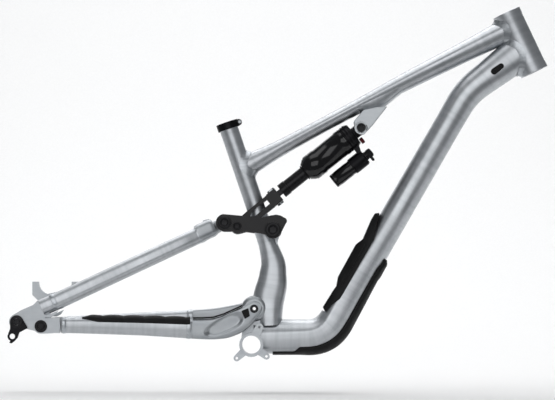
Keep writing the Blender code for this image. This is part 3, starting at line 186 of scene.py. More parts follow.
def belt(first, first_radius, second, second_radius, steps=14):
    """The outline of two circles and their outer tangents, as a belt would run."""
    apart = np.asarray(second, float) - first
    facing = math.degrees(math.atan2(apart[1], apart[0]))
    spread = math.degrees(math.acos((first_radius - second_radius) / np.linalg.norm(apart)))
    start = arc(first, first_radius, facing + spread, facing + 360 - spread, steps)
    end = arc(second, second_radius, facing - spread, facing + spread, steps)
    return np.vstack([start, end])


def curve(points, steps=6):
    """A smooth line through the points: Catmull-Rom cubics, this many steps between two."""
    points = np.asarray(points, float)
    held = np.vstack([2 * points[0] - points[1], points, 2 * points[-1] - points[-2]])
    a, b, c, d = (held[i : len(held) - 3 + i, None] for i in range(4))
    t = (np.arange(steps) / steps)[None, :, None]
    bend = (2 * a - 5 * b + 4 * c - d) * t**2 + (3 * b - a - 3 * c + d) * t**3
    inside = (b + 0.5 * ((c - a) * t + bend)).reshape(-1, points.shape[1])
    return np.vstack([inside, points[-1:]])


def evenly(line, count):
    """Count points at equal steps along a line."""
    steps = np.linalg.norm(np.diff(line, axis=0), axis=1)
    reached = np.concatenate([[0], np.cumsum(steps)])
    at = np.linspace(0, reached[-1], count)
    return np.column_stack([np.interp(at, reached, axis) for axis in line.T])


def eased(stations, shares, spread=0.05):
    """Values that run through (share, value, ...) stations without a kink.

    The straight run between stations is averaged over a window of this spread either way.
    """
    where, *values = np.array(stations, float).T
    window = np.linspace(-spread, spread, 9)[None, :]
    at = np.clip(np.asarray(shares)[:, None] + window, 0, 1)
    return [np.interp(at, where, value).mean(axis=1) for value in values]


def ramp(value, low, high):
    """0 below low, 1 above high, and the smooth 3t^2 - 2t^3 between."""
    t = np.clip((value - low) / (high - low), 0, 1)
    return t * t * (3 - 2 * t)


# %% [markdown]
# ## Surfaces
# Every new piece is a grid of points: a section carried along a path, or a profile turned
# round an axis. Each point also remembers where it would lie if its tube were pulled
# straight, as the attribute "drawn", so that brushing and lathe marks follow the metal.


# %% From a grid to a piece
def grid_faces(rows, columns, loop_rows=False, loop_columns=True):
    """The four-sided faces of a grid of points, as rows of four point numbers."""
    index = np.arange(rows * columns).reshape(rows, columns)
    if loop_columns:
        index = np.column_stack([index, index[:, :1]])
    if loop_rows:
        index = np.vstack([index, index[:1]])
    corners = [index[:-1, :-1], index[:-1, 1:], index[1:, 1:], index[1:, :-1]]
    return np.stack(corners, axis=-1).reshape(-1, 4).tolist()


def capped(grid):
    """The faces of a grid whose first and last rows are filled in."""
    rows, columns = grid.shape[:2]
    ends = [list(range(columns)), list(range((rows - 1) * columns, rows * columns))]
    return grid_faces(rows, columns) + ends


def looped(grid):
    """The faces of a grid whose last row joins its first, as a hollow tube's skin does."""
    return grid_faces(*grid.shape[:2], loop_rows=True)


def merged(mesh, distance=1e-6, joins_coplanar=False):
    """Merges points that coincide, and turns faces outwards; may join coplanar faces too."""
    shape = bmesh.new()
    shape.from_mesh(mesh)
    bmesh.ops.remove_doubles(shape, verts=shape.verts, dist=distance)
    if joins_coplanar:
        bmesh.ops.dissolve_limit(
            shape, angle_limit=math.radians(1), verts=shape.verts, edges=shape.edges
        )
    bmesh.ops.recalc_face_normals(shape, faces=shape.faces)
    shape.to_mesh(mesh)
    shape.free()


def piece(name, shells, look, body, stands_for=(), drawn=None, sharp=38):
    """One visible piece from closed shells, each a (points, faces) pair.

    Points that coincide are merged, so poles close, and faces are turned outwards.
    """
    points = np.vstack([np.reshape(grid, (-1, 3)) for grid, _ in shells])
    starts = np.cumsum([0] + [np.size(grid) // 3 for grid, _ in shells])
    faces = [
        [corner + start for corner in face]
        for start, (_, shell_faces) in zip(starts, shells)
        for face in shell_faces
    ]
    mesh = bpy.data.meshes.new(name)
    mesh.from_pydata(points.tolist(), [], faces)
    if drawn is not None:
        attribute = mesh.attributes.new("drawn", "FLOAT_VECTOR", "POINT")
        attribute.data.foreach_set("vector", np.ravel(drawn).astype(np.float32))
    merged(mesh)
    return dressed(name, mesh, look, body, stands_for, sharp)


def dressed(name, mesh, look, body, stands_for=(), sharp=38):
    """Puts a mesh in the scene with its material, its body and what it stands for."""
    mesh.shade_smooth()
    mesh.set_sharp_from_angle(angle=math.radians(sharp))
    mesh.materials.clear()
    mesh.materials.append(look)
    made = bpy.data.objects.new(name, mesh)
    bpy.context.scene.collection.objects.link(made)
    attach(made, body)
    if stands_for:
        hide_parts(*stands_for)
    return made


# %% Sections along a path
def oval(angles, above=2.0, below=2.0, share=0.5):
    """A cross-section as (across, up), each within 1, with its widest line at share of the height.

    For the angle f, up runs from the widest line to the top or bottom as sin f, and across
    is the root of 1 - |sin f|^n. With n = 2 that is an ellipse, towards 1 the widest line
    sharpens into a crease, and over 2 the side stands flatter.
    """
    above, below, share = (np.atleast_1d(value)[:, None] for value in (above, below, share))
    sine = np.sin(np.atleast_2d(angles))
    widest = 2 * share - 1
    up = widest + (1 - widest * np.sign(sine)) * sine
    power = np.where(sine > 0, above, below)
    room = np.clip(1 - np.abs(sine) ** power, 0, 1)
    return np.sign(np.cos(np.atleast_2d(angles))) * np.sqrt(room), up


def directions(path):
    """For each point of a path: its tangent, the way across the frame and the way up."""
    tangent = np.gradient(path, axis=0)
    tangent /= np.linalg.norm(tangent, axis=1)[:, None]
    across = np.array([0, 1.0, 0]) - tangent[:, 1:2] * tangent
    across /= np.linalg.norm(across, axis=1)[:, None]
    return tangent, across, np.cross(tangent, across)


def swept(shape, angles, grow=0.0):
    """A section carried along a path: the grid of points, and their straightened places.

    The point is path + (width/2 + grow) across + (height/2 + grow) up, and its straightened
    place is (length so far, the same two offsets). Each row may have angles of its own.
    """
    path, width, height, form = shape
    sideways, upwards = oval(angles, *form)
    _, across, up = directions(path)
    grow = np.broadcast_to(grow, (len(path), np.shape(angles)[-1]))
    reach = (width[:, None] / 2 + grow) * sideways
    rise = (height[:, None] / 2 + grow) * upwards
    grid = path[:, None] + reach[..., None] * across[:, None] + rise[..., None] * up[:, None]
    steps = np.linalg.norm(np.diff(path, axis=0), axis=1)
    length = np.concatenate([[0], np.cumsum(steps)])[:, None] + 0 * reach
    return grid, np.stack([length, reach, rise], axis=-1)


def round_angles(count):
    return np.arange(count) * 2 * math.pi / count


def hollow(shape, wall, sides=72):
    """A tube's skin and its bore as one closed loop of rings, with their straightened places."""
    angles = round_angles(sides)
    outer, outer_drawn = swept(shape, angles)
    inner, inner_drawn = swept(shape, angles, -wall)
    rings = np.concatenate([outer, inner[::-1]])
    return rings, np.concatenate([outer_drawn, inner_drawn[::-1]])


def tube_piece(name, shape, wall, look, body, stands_for):
    rings, drawn = hollow(shape, wall)
    return piece(name, [(rings, looped(rings))], look, body, stands_for, drawn)


# %% Profiles turned round an axis
def hexagon(angles):
    """How far a hexagon's side stands from the axis, for a flat at distance 1."""
    turn = (angles + math.pi / 6) % (math.pi / 3) - math.pi / 6
    return 1 / np.cos(turn)


def hexagonal(rows, sides=96):
    """A factor that makes the rows marked 1 hexagonal and leaves those marked 0 round."""
    return 1 + np.asarray(rows, float)[:, None] * (hexagon(round_angles(sides)) - 1)


def turned(profile, start, direction, sides=64, factor=1.0):
    """A profile of (distance, radius) points turned round an axis.

    The point is start + distance * direction + radius * factor * (across cos f + up sin f).
    The factor may change from row to row and round the turn, for a socket or a knurl.
    """
    distance, radius = np.asarray(profile, float).T
    direction = np.asarray(direction, float) / np.linalg.norm(direction)
    across = np.array([1.0, 0, 0]) if abs(direction[1]) > 0.9 else np.array([0, 1.0, 0])
    across -= across @ direction * direction
    up = np.cross(direction, across)
    angles = round_angles(sides)
    reach = radius[:, None] * np.cos(angles) * factor
    rise = radius[:, None] * np.sin(angles) * factor
    line = np.asarray(start) + distance[:, None] * direction
    grid = line[:, None] + reach[..., None] * across + rise[..., None] * up
    return grid, np.stack([distance[:, None] + 0 * reach, reach, rise], axis=-1)


def turned_piece(name, profile, start, direction, look, body, stands_for=(),
                 sides=64, factor=1.0, ring=False):
    """A turned piece, closed at both poles, or a ring whose profile closes on itself."""
    grid, drawn = turned(profile, start, direction, sides, factor)
    faces = looped(grid) if ring else grid_faces(*grid.shape[:2])
    return piece(name, [(grid, faces)], look, body, stands_for, drawn)


# %% Plates and refined copies of the CAD
def bevelled(made, edge, steps=3, angle=30):
    """Rounds a piece's sharp edges, as a cutter or a die leaves them."""
    bevel = made.modifiers.new("Rounded edges", "BEVEL")
    bevel.width = edge
    bevel.segments = steps
    bevel.limit_method = "ANGLE"
    bevel.angle_limit = math.radians(angle)
    bevel.use_clamp_overlap = True
    normals = made.modifiers.new("Flat faces stay flat", "WEIGHTED_NORMAL")
    normals.keep_sharp = False
    return made


def plate_shell(outline, low, high):
    """A side-view outline given a thickness across the frame."""
    grid = np.stack([in_space(outline, low), in_space(outline, high)])
    return grid, capped(grid)


def plate(name, outlines, spans, edge, look, body, stands_for=()):
    """Flat pieces with rounded edges, one for each outline and (low, high) span."""
    shells = [plate_shell(line, *span) for line, span in zip(outlines, spans)]
    made = piece(name, shells, look, body, stands_for, sharp=180)
    return bevelled(made, edge)


def refined(node, edge, look, steps=2, cutters=()):
    """A copy of a CAD node with its coplanar triangles joined and its sharp edges rounded."""
    source = frame["nodes"][node]
    mesh = source.data.copy()
    merged(mesh, 2e-6, joins_coplanar=True)
    body = source["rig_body"]
    made = dressed(node + "_fine", mesh, look, body, [node], sharp=180)
    if cutters:
        carved(made, cutters)
    return bevelled(made, edge, steps)


def carved(made, cutters):
    """Takes solids out of a piece for good, and removes them from the scene."""
    for solid in cutters:
        modifier = made.modifiers.new("Cut", "BOOLEAN")
        modifier.operation = "DIFFERENCE"
        modifier.solver = "EXACT"
        modifier.object = solid
    bpy.context.view_layer.update()
    evaluated = made.evaluated_get(bpy.context.evaluated_depsgraph_get())
    mesh = bpy.data.meshes.new_from_object(evaluated)
    made.modifiers.clear()
    made.data = mesh
    for solid in cutters:
        bpy.data.objects.remove(solid)
    return made


def cutter(grid, faces):
    """A solid that is only used to cut."""
    mesh = bpy.data.meshes.new("cutter")
    mesh.from_pydata(np.reshape(grid, (-1, 3)).tolist(), [], faces)
    merged(mesh)
    made = bpy.data.objects.new("cutter", mesh)
    bpy.context.scene.collection.objects.link(made)
    return made


# %% [markdown]
# ## Finishes
# The tubes are aluminium, brushed across by hand and lacquered; the forgings are blasted
# before the same lacquer. The small hardware is black anodised, the guards are moulded. Each
# material is made of noises whose pitch is a real size, so marks have the right scale.


# %% Small helpers for materials
def linear(colour):
    """An sRGB hex colour as the linear values a shader takes."""
    share = np.array([int(colour[i : i + 2], 16) / 255 for i in (1, 3, 5)])
    low, high = share / 12.92, ((share + 0.055) / 1.055) ** 2.4
    return (*np.where(share <= 0.04045, low, high), 1)


def add(tree, kind, settings=None, **links):
    """Adds a node, sets its named inputs or properties, and links outputs to its inputs."""
    made = tree.nodes.new("ShaderNode" + kind)
    for name, value in (settings or {}).items():
        if name in made.inputs:
            made.inputs[name].default_value = value
        else:
            setattr(made, name, value)
    for name, output in links.items():
        tree.links.new(output, made.inputs[name.replace("_", " ")])
    return made


def blank(name, **settings):
    """A new material's node tree and its shader, with the shader's constant values set."""
    material = bpy.data.materials.new(name)
    material.use_nodes = True
    shader = material.node_tree.nodes["Principled BSDF"]
    for socket, value in settings.items():
        shader.inputs[socket.replace("_", " ")].default_value = value
    return material, material.node_tree, shader


def noise(tree, place, pitch, stretch=(1, 1, 1), detail=3.0):
    """A noise with this many metres to a blotch, times stretch along each axis."""
    scale = [1 / (pitch * long) for long in stretch]
    mapped = add(tree, "Mapping", {"Scale": scale}, Vector=place)
    settings = {"Scale": 1.0, "Detail": detail}
    return add(tree, "TexNoise", settings, Vector=mapped.outputs["Vector"]).outputs["Fac"]


def shade(tree, shader, factor, dark, light, low=0.3, high=0.7):
    """Colours the shader from dark to light as the factor runs from low to high."""
    between = add(tree, "ValToRGB", Fac=factor)
    for element, place, colour in zip(between.color_ramp.elements, (low, high), (dark, light)):
        element.position = place
        element.color = linear(colour)
    tree.links.new(between.outputs["Color"], shader.inputs["Base Color"])


def gloss(tree, shader, factor, low, high):
    """Runs the roughness from low to high with the factor."""
    settings = {"From Min": 0.3, "From Max": 0.7, "To Min": low, "To Max": high}
    mapped = add(tree, "MapRange", settings, Value=factor)
    tree.links.new(mapped.outputs["Result"], shader.inputs["Roughness"])


def relief(tree, shader, heights, depths):
    """Stacks bumps, each with its own height and depth in metres."""
    normal = {}
    for height, depth in zip(heights, depths):
        settings = {"Strength": 1.0, "Distance": depth}
        bump = add(tree, "Bump", settings, Height=height, **normal)
        normal = {"Normal": bump.outputs["Normal"]}
    tree.links.new(bump.outputs["Normal"], shader.inputs["Normal"])


def drawn_place(tree):
    """Where the point would lie if its tube were pulled straight."""
    return add(tree, "Attribute", {"attribute_name": "drawn"}).outputs["Vector"]


def object_place(tree):
    return add(tree, "TexCoord").outputs["Object"]


# %% Raw metals
def brushed_tube_alloy():
    """Hydroformed tube: brushed round the tube, then lacquered."""
    name = "Hand-brushed aluminium tube, clear lacquer"
    material, tree, shader = blank(name, Metallic=1.0, Coat_Weight=0.35, Coat_Roughness=0.16)
    place = drawn_place(tree)
    strokes = noise(tree, place, 0.0011, (1, 28, 28), 5.0)
    passes = noise(tree, place, 0.009, (1, 9, 9), 3.0)
    clouds = noise(tree, place, 0.055, (1.6, 1, 1), 2.0)
    shade(tree, shader, passes, "#B3B7BB", "#C3C6CA")
    gloss(tree, shader, clouds, 0.34, 0.44)
    relief(tree, shader, (strokes, passes), (0.000010, 0.000018))
    return material


def blasted_forging_alloy():
    """A forging blasted with fine beads, which scatters more than the tubes."""
    name = "Bead-blasted aluminium forging, clear lacquer"
    material, tree, shader = blank(name, Metallic=1.0, Coat_Weight=0.3, Coat_Roughness=0.2)
    place = object_place(tree)
    beads = noise(tree, place, 0.0007, detail=2.0)
    flow = noise(tree, place, 0.022, (2.5, 1, 1), 3.0)
    shade(tree, shader, flow, "#9CA0A5", "#B4B8BB")
    gloss(tree, shader, flow, 0.34, 0.44)
    relief(tree, shader, (beads, flow), (0.000015, 0.00003))
    return material


def weld_alloy():
    """TIG weld metal, laid in two passes and brushed smooth, with the ripples just left."""
    name = "Smoothed TIG weld in aluminium"
    material, tree, shader = blank(name, Metallic=1.0, Coat_Weight=0.3, Coat_Roughness=0.15)
    place = drawn_place(tree)
    settings = {"Scale": 112.0, "Distortion": 1.2, "Detail": 1.0, "bands_direction": "X"}
    ripples = add(tree, "TexWave", settings, Vector=place).outputs["Fac"]
    lumps = noise(tree, place, 0.006, detail=2.0)
    shade(tree, shader, lumps, "#A4A9AE", "#C6CACE")
    gloss(tree, shader, lumps, 0.30, 0.42)
    relief(tree, shader, (ripples, lumps), (0.00003, 0.00008))
    return material


def turned_metal(name, dark, light, low, high, metallic=1.0, pitch=0.0003, depth=0.00001):
    """Metal off a lathe: fine rings that follow the turning, over a slow change of polish."""
    material, tree, shader = blank(name, Metallic=metallic)
    place = drawn_place(tree)
    rings = noise(tree, place, pitch, (1, 90, 90), 2.0)
    polish = noise(tree, place, 0.006, detail=2.0)
    shade(tree, shader, polish, dark, light)
    gloss(tree, shader, rings, low, high)
    relief(tree, shader, (rings,), (depth,))
    return material


# %% Blacks
def coated(name, dark, light, low, high, grain, depth, metallic=0.0, coat=0.0, sheen=0.03):
    """A coated or moulded surface: a fine grain, and slow patches of sheen from handling."""
    material, tree, shader = blank(
        name, Metallic=metallic, Coat_Weight=coat, Coat_Roughness=0.1, Specular_IOR_Level=0.2
    )
    place = object_place(tree)
    fine = noise(tree, place, grain, detail=2.0)
    patches = noise(tree, place, sheen, detail=3.0)
    shade(tree, shader, patches, dark, light)
    gloss(tree, shader, patches, low, high)
    relief(tree, shader, (fine,), (depth,))
    return material


def moulded_rubber():
    """Glove-soft rubber over the tubes: a pebbled mould texture of half a millimetre."""
    material, tree, shader = blank("Moulded rubber, pebble texture", Specular_IOR_Level=0.2)
    place = object_place(tree)
    settings = {"Scale": 1800.0}
    pebbles = add(tree, "TexVoronoi", settings, Vector=place).outputs["Distance"]
    dust = noise(tree, place, 0.018, detail=4.0)
    shade(tree, shader, dust, "#0C0C0D", "#151516")
    gloss(tree, shader, dust, 0.44, 0.62)
    relief(tree, shader, (pebbles, dust), (0.00005, 0.0001))
    return material


BRUSHED = brushed_tube_alloy()
FORGED = blasted_forging_alloy()
WELD = weld_alloy()
MACHINED = turned_metal("Machined aluminium face", "#A6AAAE", "#BEC1C4", 0.18, 0.32)
STEEL = turned_metal("Ground bearing steel", "#8C8F92", "#A6A9AC", 0.16, 0.30)
TURNED_BLACK = turned_metal(
    "Turned aluminium, black anodised", "#121214", "#1D1D20", 0.24, 0.38, metallic=0.65
)
TURNED_RED = turned_metal(
    "Turned aluminium, red anodised", "#4A1C20", "#5E262B", 0.22, 0.34, metallic=0.9
)
LINK_BLACK = coated(
    "Forged link, satin black paint", "#121113", "#19181B", 0.26, 0.36, 0.0009, 0.00002, coat=0.12
)
ANODISED = coated(
    "Machined forging, black anodised", "#111113", "#1C1C1F", 0.28, 0.42, 0.0005, 0.000012,
    metallic=0.55,
)
CAN_BLACK = coated(
    "Shock can, gloss black anodised", "#09090B", "#121215", 0.12, 0.2, 0.0008, 0.000008,
    metallic=0.3, coat=0.6,
)
DOOR_PLASTIC = coated(
    "Glass-filled nylon, fine spark texture", "#0F0F10", "#19191A", 0.38, 0.52, 0.0006, 0.00004
)
RUBBER = moulded_rubber()
print(len(bpy.data.materials), "materials")

# %% [markdown]
# ## Head tube
# A drawn and machined tube, faced and bored at both ends for the headset's cups. The walls
# are relieved between two full bands, which hold the welds' heat and the bearings' load.

# %% Head tube
HEAD_BORE = 0.0222
BAND = 0.010  # height of the full bands
RELIEF = 0.0006


def head_tube():
    far = head_length
    outside = [
        (0, head_radius - 0.0007),
        (0.0007, head_radius),
        (BAND, head_radius),
        (BAND + 0.004, head_radius - RELIEF),
        (far - BAND - 0.004, head_radius - RELIEF),
        (far - BAND, head_radius),
        (far - 0.0007, head_radius),
        (far, head_radius - 0.0007),
    ]
    step = HEAD_BORE - 0.0016
    inside = [
        (far, HEAD_BORE + 0.0006),
        (far - 0.0006, HEAD_BORE),
        (far - 0.014, HEAD_BORE),
        (far - 0.014, step),
        (0.014, step),
        (0.014, HEAD_BORE),
        (0.0006, HEAD_BORE),
        (0, HEAD_BORE + 0.0006),
    ]
    profile = np.vstack([outside, inside])
    return turned_piece(
        "head_tube_fine", profile, in_space(head_top), in_space(head_down), BRUSHED,
        "front_frame", ["head_tube"], sides=96, ring=True,
    )


def cylinder(point, direction, radius, start, end, sides=64):
    """A solid that cuts a bore along an axis."""
    profile = [(start, 0), (start, radius), (end, radius), (end, 0)]
    grid, _ = turned(profile, point, direction, sides)
    return cutter(grid, grid_faces(*grid.shape[:2]))


head_tube()
print("head tube drawn")

# %% [markdown]
# ## Top tube and down tube
# Both are hydroformed: oil under pressure blows a round tube out into a mould, which is how
# one tube can be deep at the welds, slim between them and creased along its side. Each is a
# section carried along a rounded centre line; its width, height and creases change on the way.

# %% Shapes of the two long tubes
WALL = 0.0018
DOWN_TUBE_HEIGHT = 0.0152
DOWN_TUBE_FLAT = 0.1384
DOWN_TUBE_JOIN = 0.0470
DOWN_TUBE_HEAD_RUN = 0.133
DOWN_TUBE_HEAD_SLOPE = 36.8
TOP_TUBE_JOIN_SEAT = 0.090
TOP_TUBE_JOIN_HEAD = 0.030
TOP_TUBE_BOW = 0.0028
down_join = head_bottom - DOWN_TUBE_JOIN * head_down


def tube_shape(line, stations, count):
    """A path with its widths, heights and section forms, from (share, ...) stations.

    Each station is (share of the length, width, height, form above, form below, widest).
    """
    line = np.asarray(line, float)
    path = evenly(in_space(line) if line.shape[1] == 2 else line, count)
    width, height, *form = eased(stations, np.linspace(0, 1, count))
    return path, width, height, form


def stretch(shape, first, last):
    """The part of a shape between two shares of its length."""
    path, width, height, form = shape
    low, high = (round(share * (len(path) - 1)) for share in (first, last))
    part = slice(low, high + 1)
    return path[part], width[part], height[part], [value[part] for value in form]


def down_tube_shape():
    corners = [
        (0.004, DOWN_TUBE_HEIGHT),
        (DOWN_TUBE_FLAT, DOWN_TUBE_HEIGHT),
        down_join - DOWN_TUBE_HEAD_RUN * along(DOWN_TUBE_HEAD_SLOPE),
        down_join,
    ]
    stations = [
        (0.00, 0.060, 0.0650, 1.45, 3.6, 0.57),
        (0.13, 0.060, 0.0640, 1.45, 3.6, 0.64),
        (0.24, 0.056, 0.0605, 1.7, 3.0, 0.74),
        (0.34, 0.053, 0.0535, 2.2, 2.4, 0.60),
        (0.45, 0.0525, 0.0525, 2.3, 2.3, 0.50),
        (0.78, 0.052, 0.0515, 2.2, 2.0, 0.50),
        (0.88, 0.051, 0.0580, 2.2, 2.0, 0.50),
        (1.00, 0.050, 0.0680, 2.6, 2.4, 0.50),
    ]
    return tube_shape(softened(corners, [0.035, 0.030], 16), stations, 200)


def top_tube_shape():
    start = seat_top + TOP_TUBE_JOIN_SEAT * seat_down + 0.004 * seat_ahead
    end = head_top + TOP_TUBE_JOIN_HEAD * head_down
    rise = (end - start) / np.linalg.norm(end - start)
    centre = (start + end) / 2 + TOP_TUBE_BOW * np.array([-rise[1], rise[0]])
    stations = [
        (0.00, 0.034, 0.044, 2.0, 2.0, 0.5),
        (0.06, 0.034, 0.036, 2.0, 1.8, 0.5),
        (0.13, 0.035, 0.030, 2.1, 1.6, 0.54),
        (0.27, 0.036, 0.027, 2.2, 1.6, 0.58),
        (0.43, 0.037, 0.027, 2.2, 1.6, 0.58),
        (0.62, 0.040, 0.034, 2.2, 1.7, 0.58),
        (0.83, 0.043, 0.038, 2.2, 1.9, 0.58),
        (1.00, 0.044, 0.047, 1.8, 2.0, 0.56),
    ]
    return tube_shape(curve([start, centre, end], 12), stations, 140)


# %% The two long tubes
DOOR_SEAT = [
    (0.1370, 0.0620),
    (0.1497, 0.0742),
    (0.1649, 0.0853),
    (0.1720, 0.0964),
    (0.2275, 0.1954),
    (0.2316, 0.2146),
    (0.2390, 0.2440),
]  # the edge on which the storage door sits


def door_opening():
    outline = np.vstack([DOOR_SEAT, [(0.22, 0.30), (0.06, 0.10)]])
    return cutter(*plate_shell(outline, -0.04, 0.04))


HEAD_SLOPE = along(DOWN_TUBE_HEAD_SLOPE)
PORT_MIDDLE = down_join - 0.063 * HEAD_SLOPE


def port_outline(grow=0.0):
    """A slot with round ends, on the down tube's side near the head tube."""
    half = 0.008 * HEAD_SLOPE
    return belt(PORT_MIDDLE - half, 0.0058 + grow, PORT_MIDDLE + half, 0.0050 + grow)


def head_bore_cutter():
    return cylinder(in_space(head_top), in_space(head_down), head_radius - 0.002, -0.02, 0.15)


def seat_bore_cutter(start=-0.02, end=0.25):
    return cylinder(in_space(seat_top), in_space(seat_down), seat_radius - 0.001, start, end)


down_tube = tube_piece(
    "down_tube_fine", down_tube_shape(), WALL, BRUSHED, "front_frame",
    ["down_tube"],
)
SHELL_RADIUS = 0.0225
carved(down_tube, [
    door_opening(),
    head_bore_cutter(),
    cylinder((0, 0, 0), (0, 1, 0), SHELL_RADIUS - 0.002, -0.05, 0.05),
    cutter(*plate_shell(port_outline(0.0004), -0.04, 0.04)),
])
top_tube = tube_piece(
    "top_tube_fine", top_tube_shape(), WALL, BRUSHED, "front_frame",
    ["top_tube"],
)
carved(top_tube, [head_bore_cutter(), seat_bore_cutter()])
print("long tubes:", len(down_tube.data.polygons) + len(top_tube.data.polygons), "faces")

# %% [markdown]
# ## Seat tube
# The upper half is plain round tube, for the post. The lower half is another hydroformed
# piece, deep and wide where it spreads the load of the main pivot over the down tube.


# %% Seat tube
def seat_upper():
    bore = seat_radius - 0.0020
    far = seat_upper_length
    profile = [(0, bore), (0, seat_radius), (far, seat_radius), (far, bore)]
    return turned_piece(
        "seat_tube_upper_fine", profile, in_space(seat_top), in_space(seat_down), BRUSHED,
        "front_frame", ["seat_tube_upper"], sides=72, ring=True,
    )


def seat_lower_shape():
    start = seat_top + seat_upper_length * seat_down
    path = [start - 0.002 * seat_down, start + 0.006 * seat_down]
    path += [(0.0324, 0.1825), (0.0406, 0.152), (0.0403, 0.130), (0.0383, 0.1115)]
    path += [(0.0325, 0.086), (0.0330, 0.064), (0.0340, 0.036)]
    across = 2 * seat_radius
    stations = [
        (0.00, across, across, 2.0, 2.0, 0.5),
        (0.06, across, across, 2.0, 2.0, 0.5),
        (0.18, 0.036, 0.0355, 2.2, 2.2, 0.5),
        (0.36, 0.040, 0.0460, 2.6, 2.6, 0.5),
        (0.49, 0.044, 0.0520, 3.2, 2.8, 0.5),
        (0.59, 0.048, 0.0575, 3.2, 2.8, 0.5),
        (0.74, 0.053, 0.0600, 3.0, 2.8, 0.5),
        (0.86, 0.056, 0.0500, 3.0, 3.0, 0.5),
        (1.00, 0.056, 0.0470, 3.0, 3.0, 0.5),
    ]
    return tube_shape(curve(np.array(path), 10), stations, 90)


seat_upper()
seat_lower = tube_piece(
    "seat_tube_lower_fine", seat_lower_shape(), WALL, BRUSHED, "front_frame",
    ["seat_tube_lower"],
)
AXLE_HOLE = 0.0050
carved(seat_lower, [cylinder(in_space(main_pivot), (0, 1, 0), AXLE_HOLE, -0.06, 0.06)])
print("seat tube drawn")

# %% [markdown]
# ## Welds
# Each tube's end is mitred to the tube that it meets, and a bead of filler is laid along the
# mitre. The bead is drawn where the two skins really cross: every line along the entering
# tube is followed until it meets the round tube, and a fillet is bent between the two skins.


# %% Weld beads
BEAD = 0.0075  # how far a bead reaches along each skin
BEAD_CROWN = 0.0011


def weld(name, shape, at_end, point, direction, radius, body="front_frame", reach=BEAD):
    """A bead where a tube's end meets a round tube on an axis through point.

    A line p + t d along the entering tube meets the round one where its part square to the
    axis has the length of the radius: a quadratic in t. From that crossing, a is the way
    back along the tube and b the way out along the round skin, and the bead's section is
    (1-s)^2 (c + reach a) + 2s(1-s) c + s^2 (c + reach b), raised by 4s(1-s) crown.
    """
    grid, _ = swept(shape, round_angles(96))
    row, inner = (-1, -2) if at_end else (0, 1)
    ring, travel = grid[row], grid[row].mean(axis=0) - grid[inner].mean(axis=0)
    travel /= np.linalg.norm(travel)
    ring = ring - 0.03 * travel
    outward = ring - ring.mean(axis=0)
    outward /= np.linalg.norm(outward, axis=1)[:, None]
    axis = np.asarray(direction, float) / np.linalg.norm(direction)
    flat_ring = ring - point - np.outer((ring - point) @ axis, axis)
    flat_travel = travel - travel @ axis * axis
    half_b = flat_ring @ flat_travel
    square = flat_travel @ flat_travel
    missing = (flat_ring**2).sum(axis=1) - radius**2
    root = np.sqrt(np.clip(half_b**2 - square * missing, 0, None))
    crossing = ring + ((-half_b - root) / square)[:, None] * travel
    normal = crossing - point - np.outer((crossing - point) @ axis, axis)
    normal /= np.linalg.norm(normal, axis=1)[:, None]
    spread = outward - (outward * normal).sum(axis=1)[:, None] * normal
    spread /= np.linalg.norm(spread, axis=1)[:, None]
    crown = normal + outward
    crown /= np.linalg.norm(crown, axis=1)[:, None]
    s = np.linspace(0, 1, 11)[None, :, None]
    start = crossing - reach * travel - 0.0002 * outward
    end = crossing + reach * spread - 0.0002 * normal
    bend = (1 - s) ** 2 * start[:, None] + 2 * s * (1 - s) * crossing[:, None]
    bend = bend + s**2 * end[:, None] + 4 * s * (1 - s) * BEAD_CROWN * crown[:, None]
    root_line = crossing - 0.003 * crown
    bead = np.concatenate([bend, root_line[:, None]], axis=1)
    steps = np.linalg.norm(np.diff(crossing, axis=0), axis=1)
    length = np.concatenate([[0], np.cumsum(steps)])[:, None] + np.zeros(bead.shape[:2])
    drawn = np.stack([length, bead[..., 1], bead[..., 2]], axis=-1)
    return piece(name, [(bead, looped(bead))], WELD, body, drawn=drawn, sharp=70)


def band_weld(name, shape, first, last, body, rise=0.0009):
    """A bead round a butt joint: the tube's own section, raised by rise * sin(pi s)."""
    part = tube_shape(*(evenly_part(shape, first, last)))
    share = np.linspace(0, 1, len(part[0]))
    grow = (rise * np.sin(math.pi * share) - 0.0003 * (share * (1 - share) < 0.01))[:, None]
    grid, drawn = swept(part, round_angles(64), grow)
    return piece(name, [(grid, capped(grid))], WELD, body, drawn=drawn)


def evenly_part(shape, first, last, count=14):
    """The path and stations of a stretch, ready to be drawn again with more points."""
    path, width, height, form = stretch(shape, first, last)
    stations = np.column_stack([np.linspace(0, 1, len(path)), width, height, *form])
    return path, stations, count


head_axis = (in_space(head_top), in_space(head_down))
seat_axis = (in_space(seat_top), in_space(seat_down))
weld("weld_top_tube_head", top_tube_shape(), True, *head_axis, head_radius - RELIEF)
weld("weld_down_tube_head", down_tube_shape(), True, *head_axis, head_radius - RELIEF)
weld("weld_top_tube_seat", top_tube_shape(), False, *seat_axis, seat_radius, reach=0.0085)
print("welds drawn")

# %% [markdown]
# ## Bottom bracket, pivots and mounts
# These are forgings and turned bosses, machined where something seats on them. The packed
# solids already have their form, so they are copied, their triangles joined into faces, and
# their edges rounded as a die or a deburring wheel leaves them.

# %% Forgings of the front frame
refined("bottom_bracket_shell", 0.0007, FORGED, 3)
refined("main_pivot_boss", 0.0009, FORGED, 3)
refined("rocker_boss", 0.0010, FORGED, 3)
refined("seat_collar", 0.0009, ANODISED, 3)


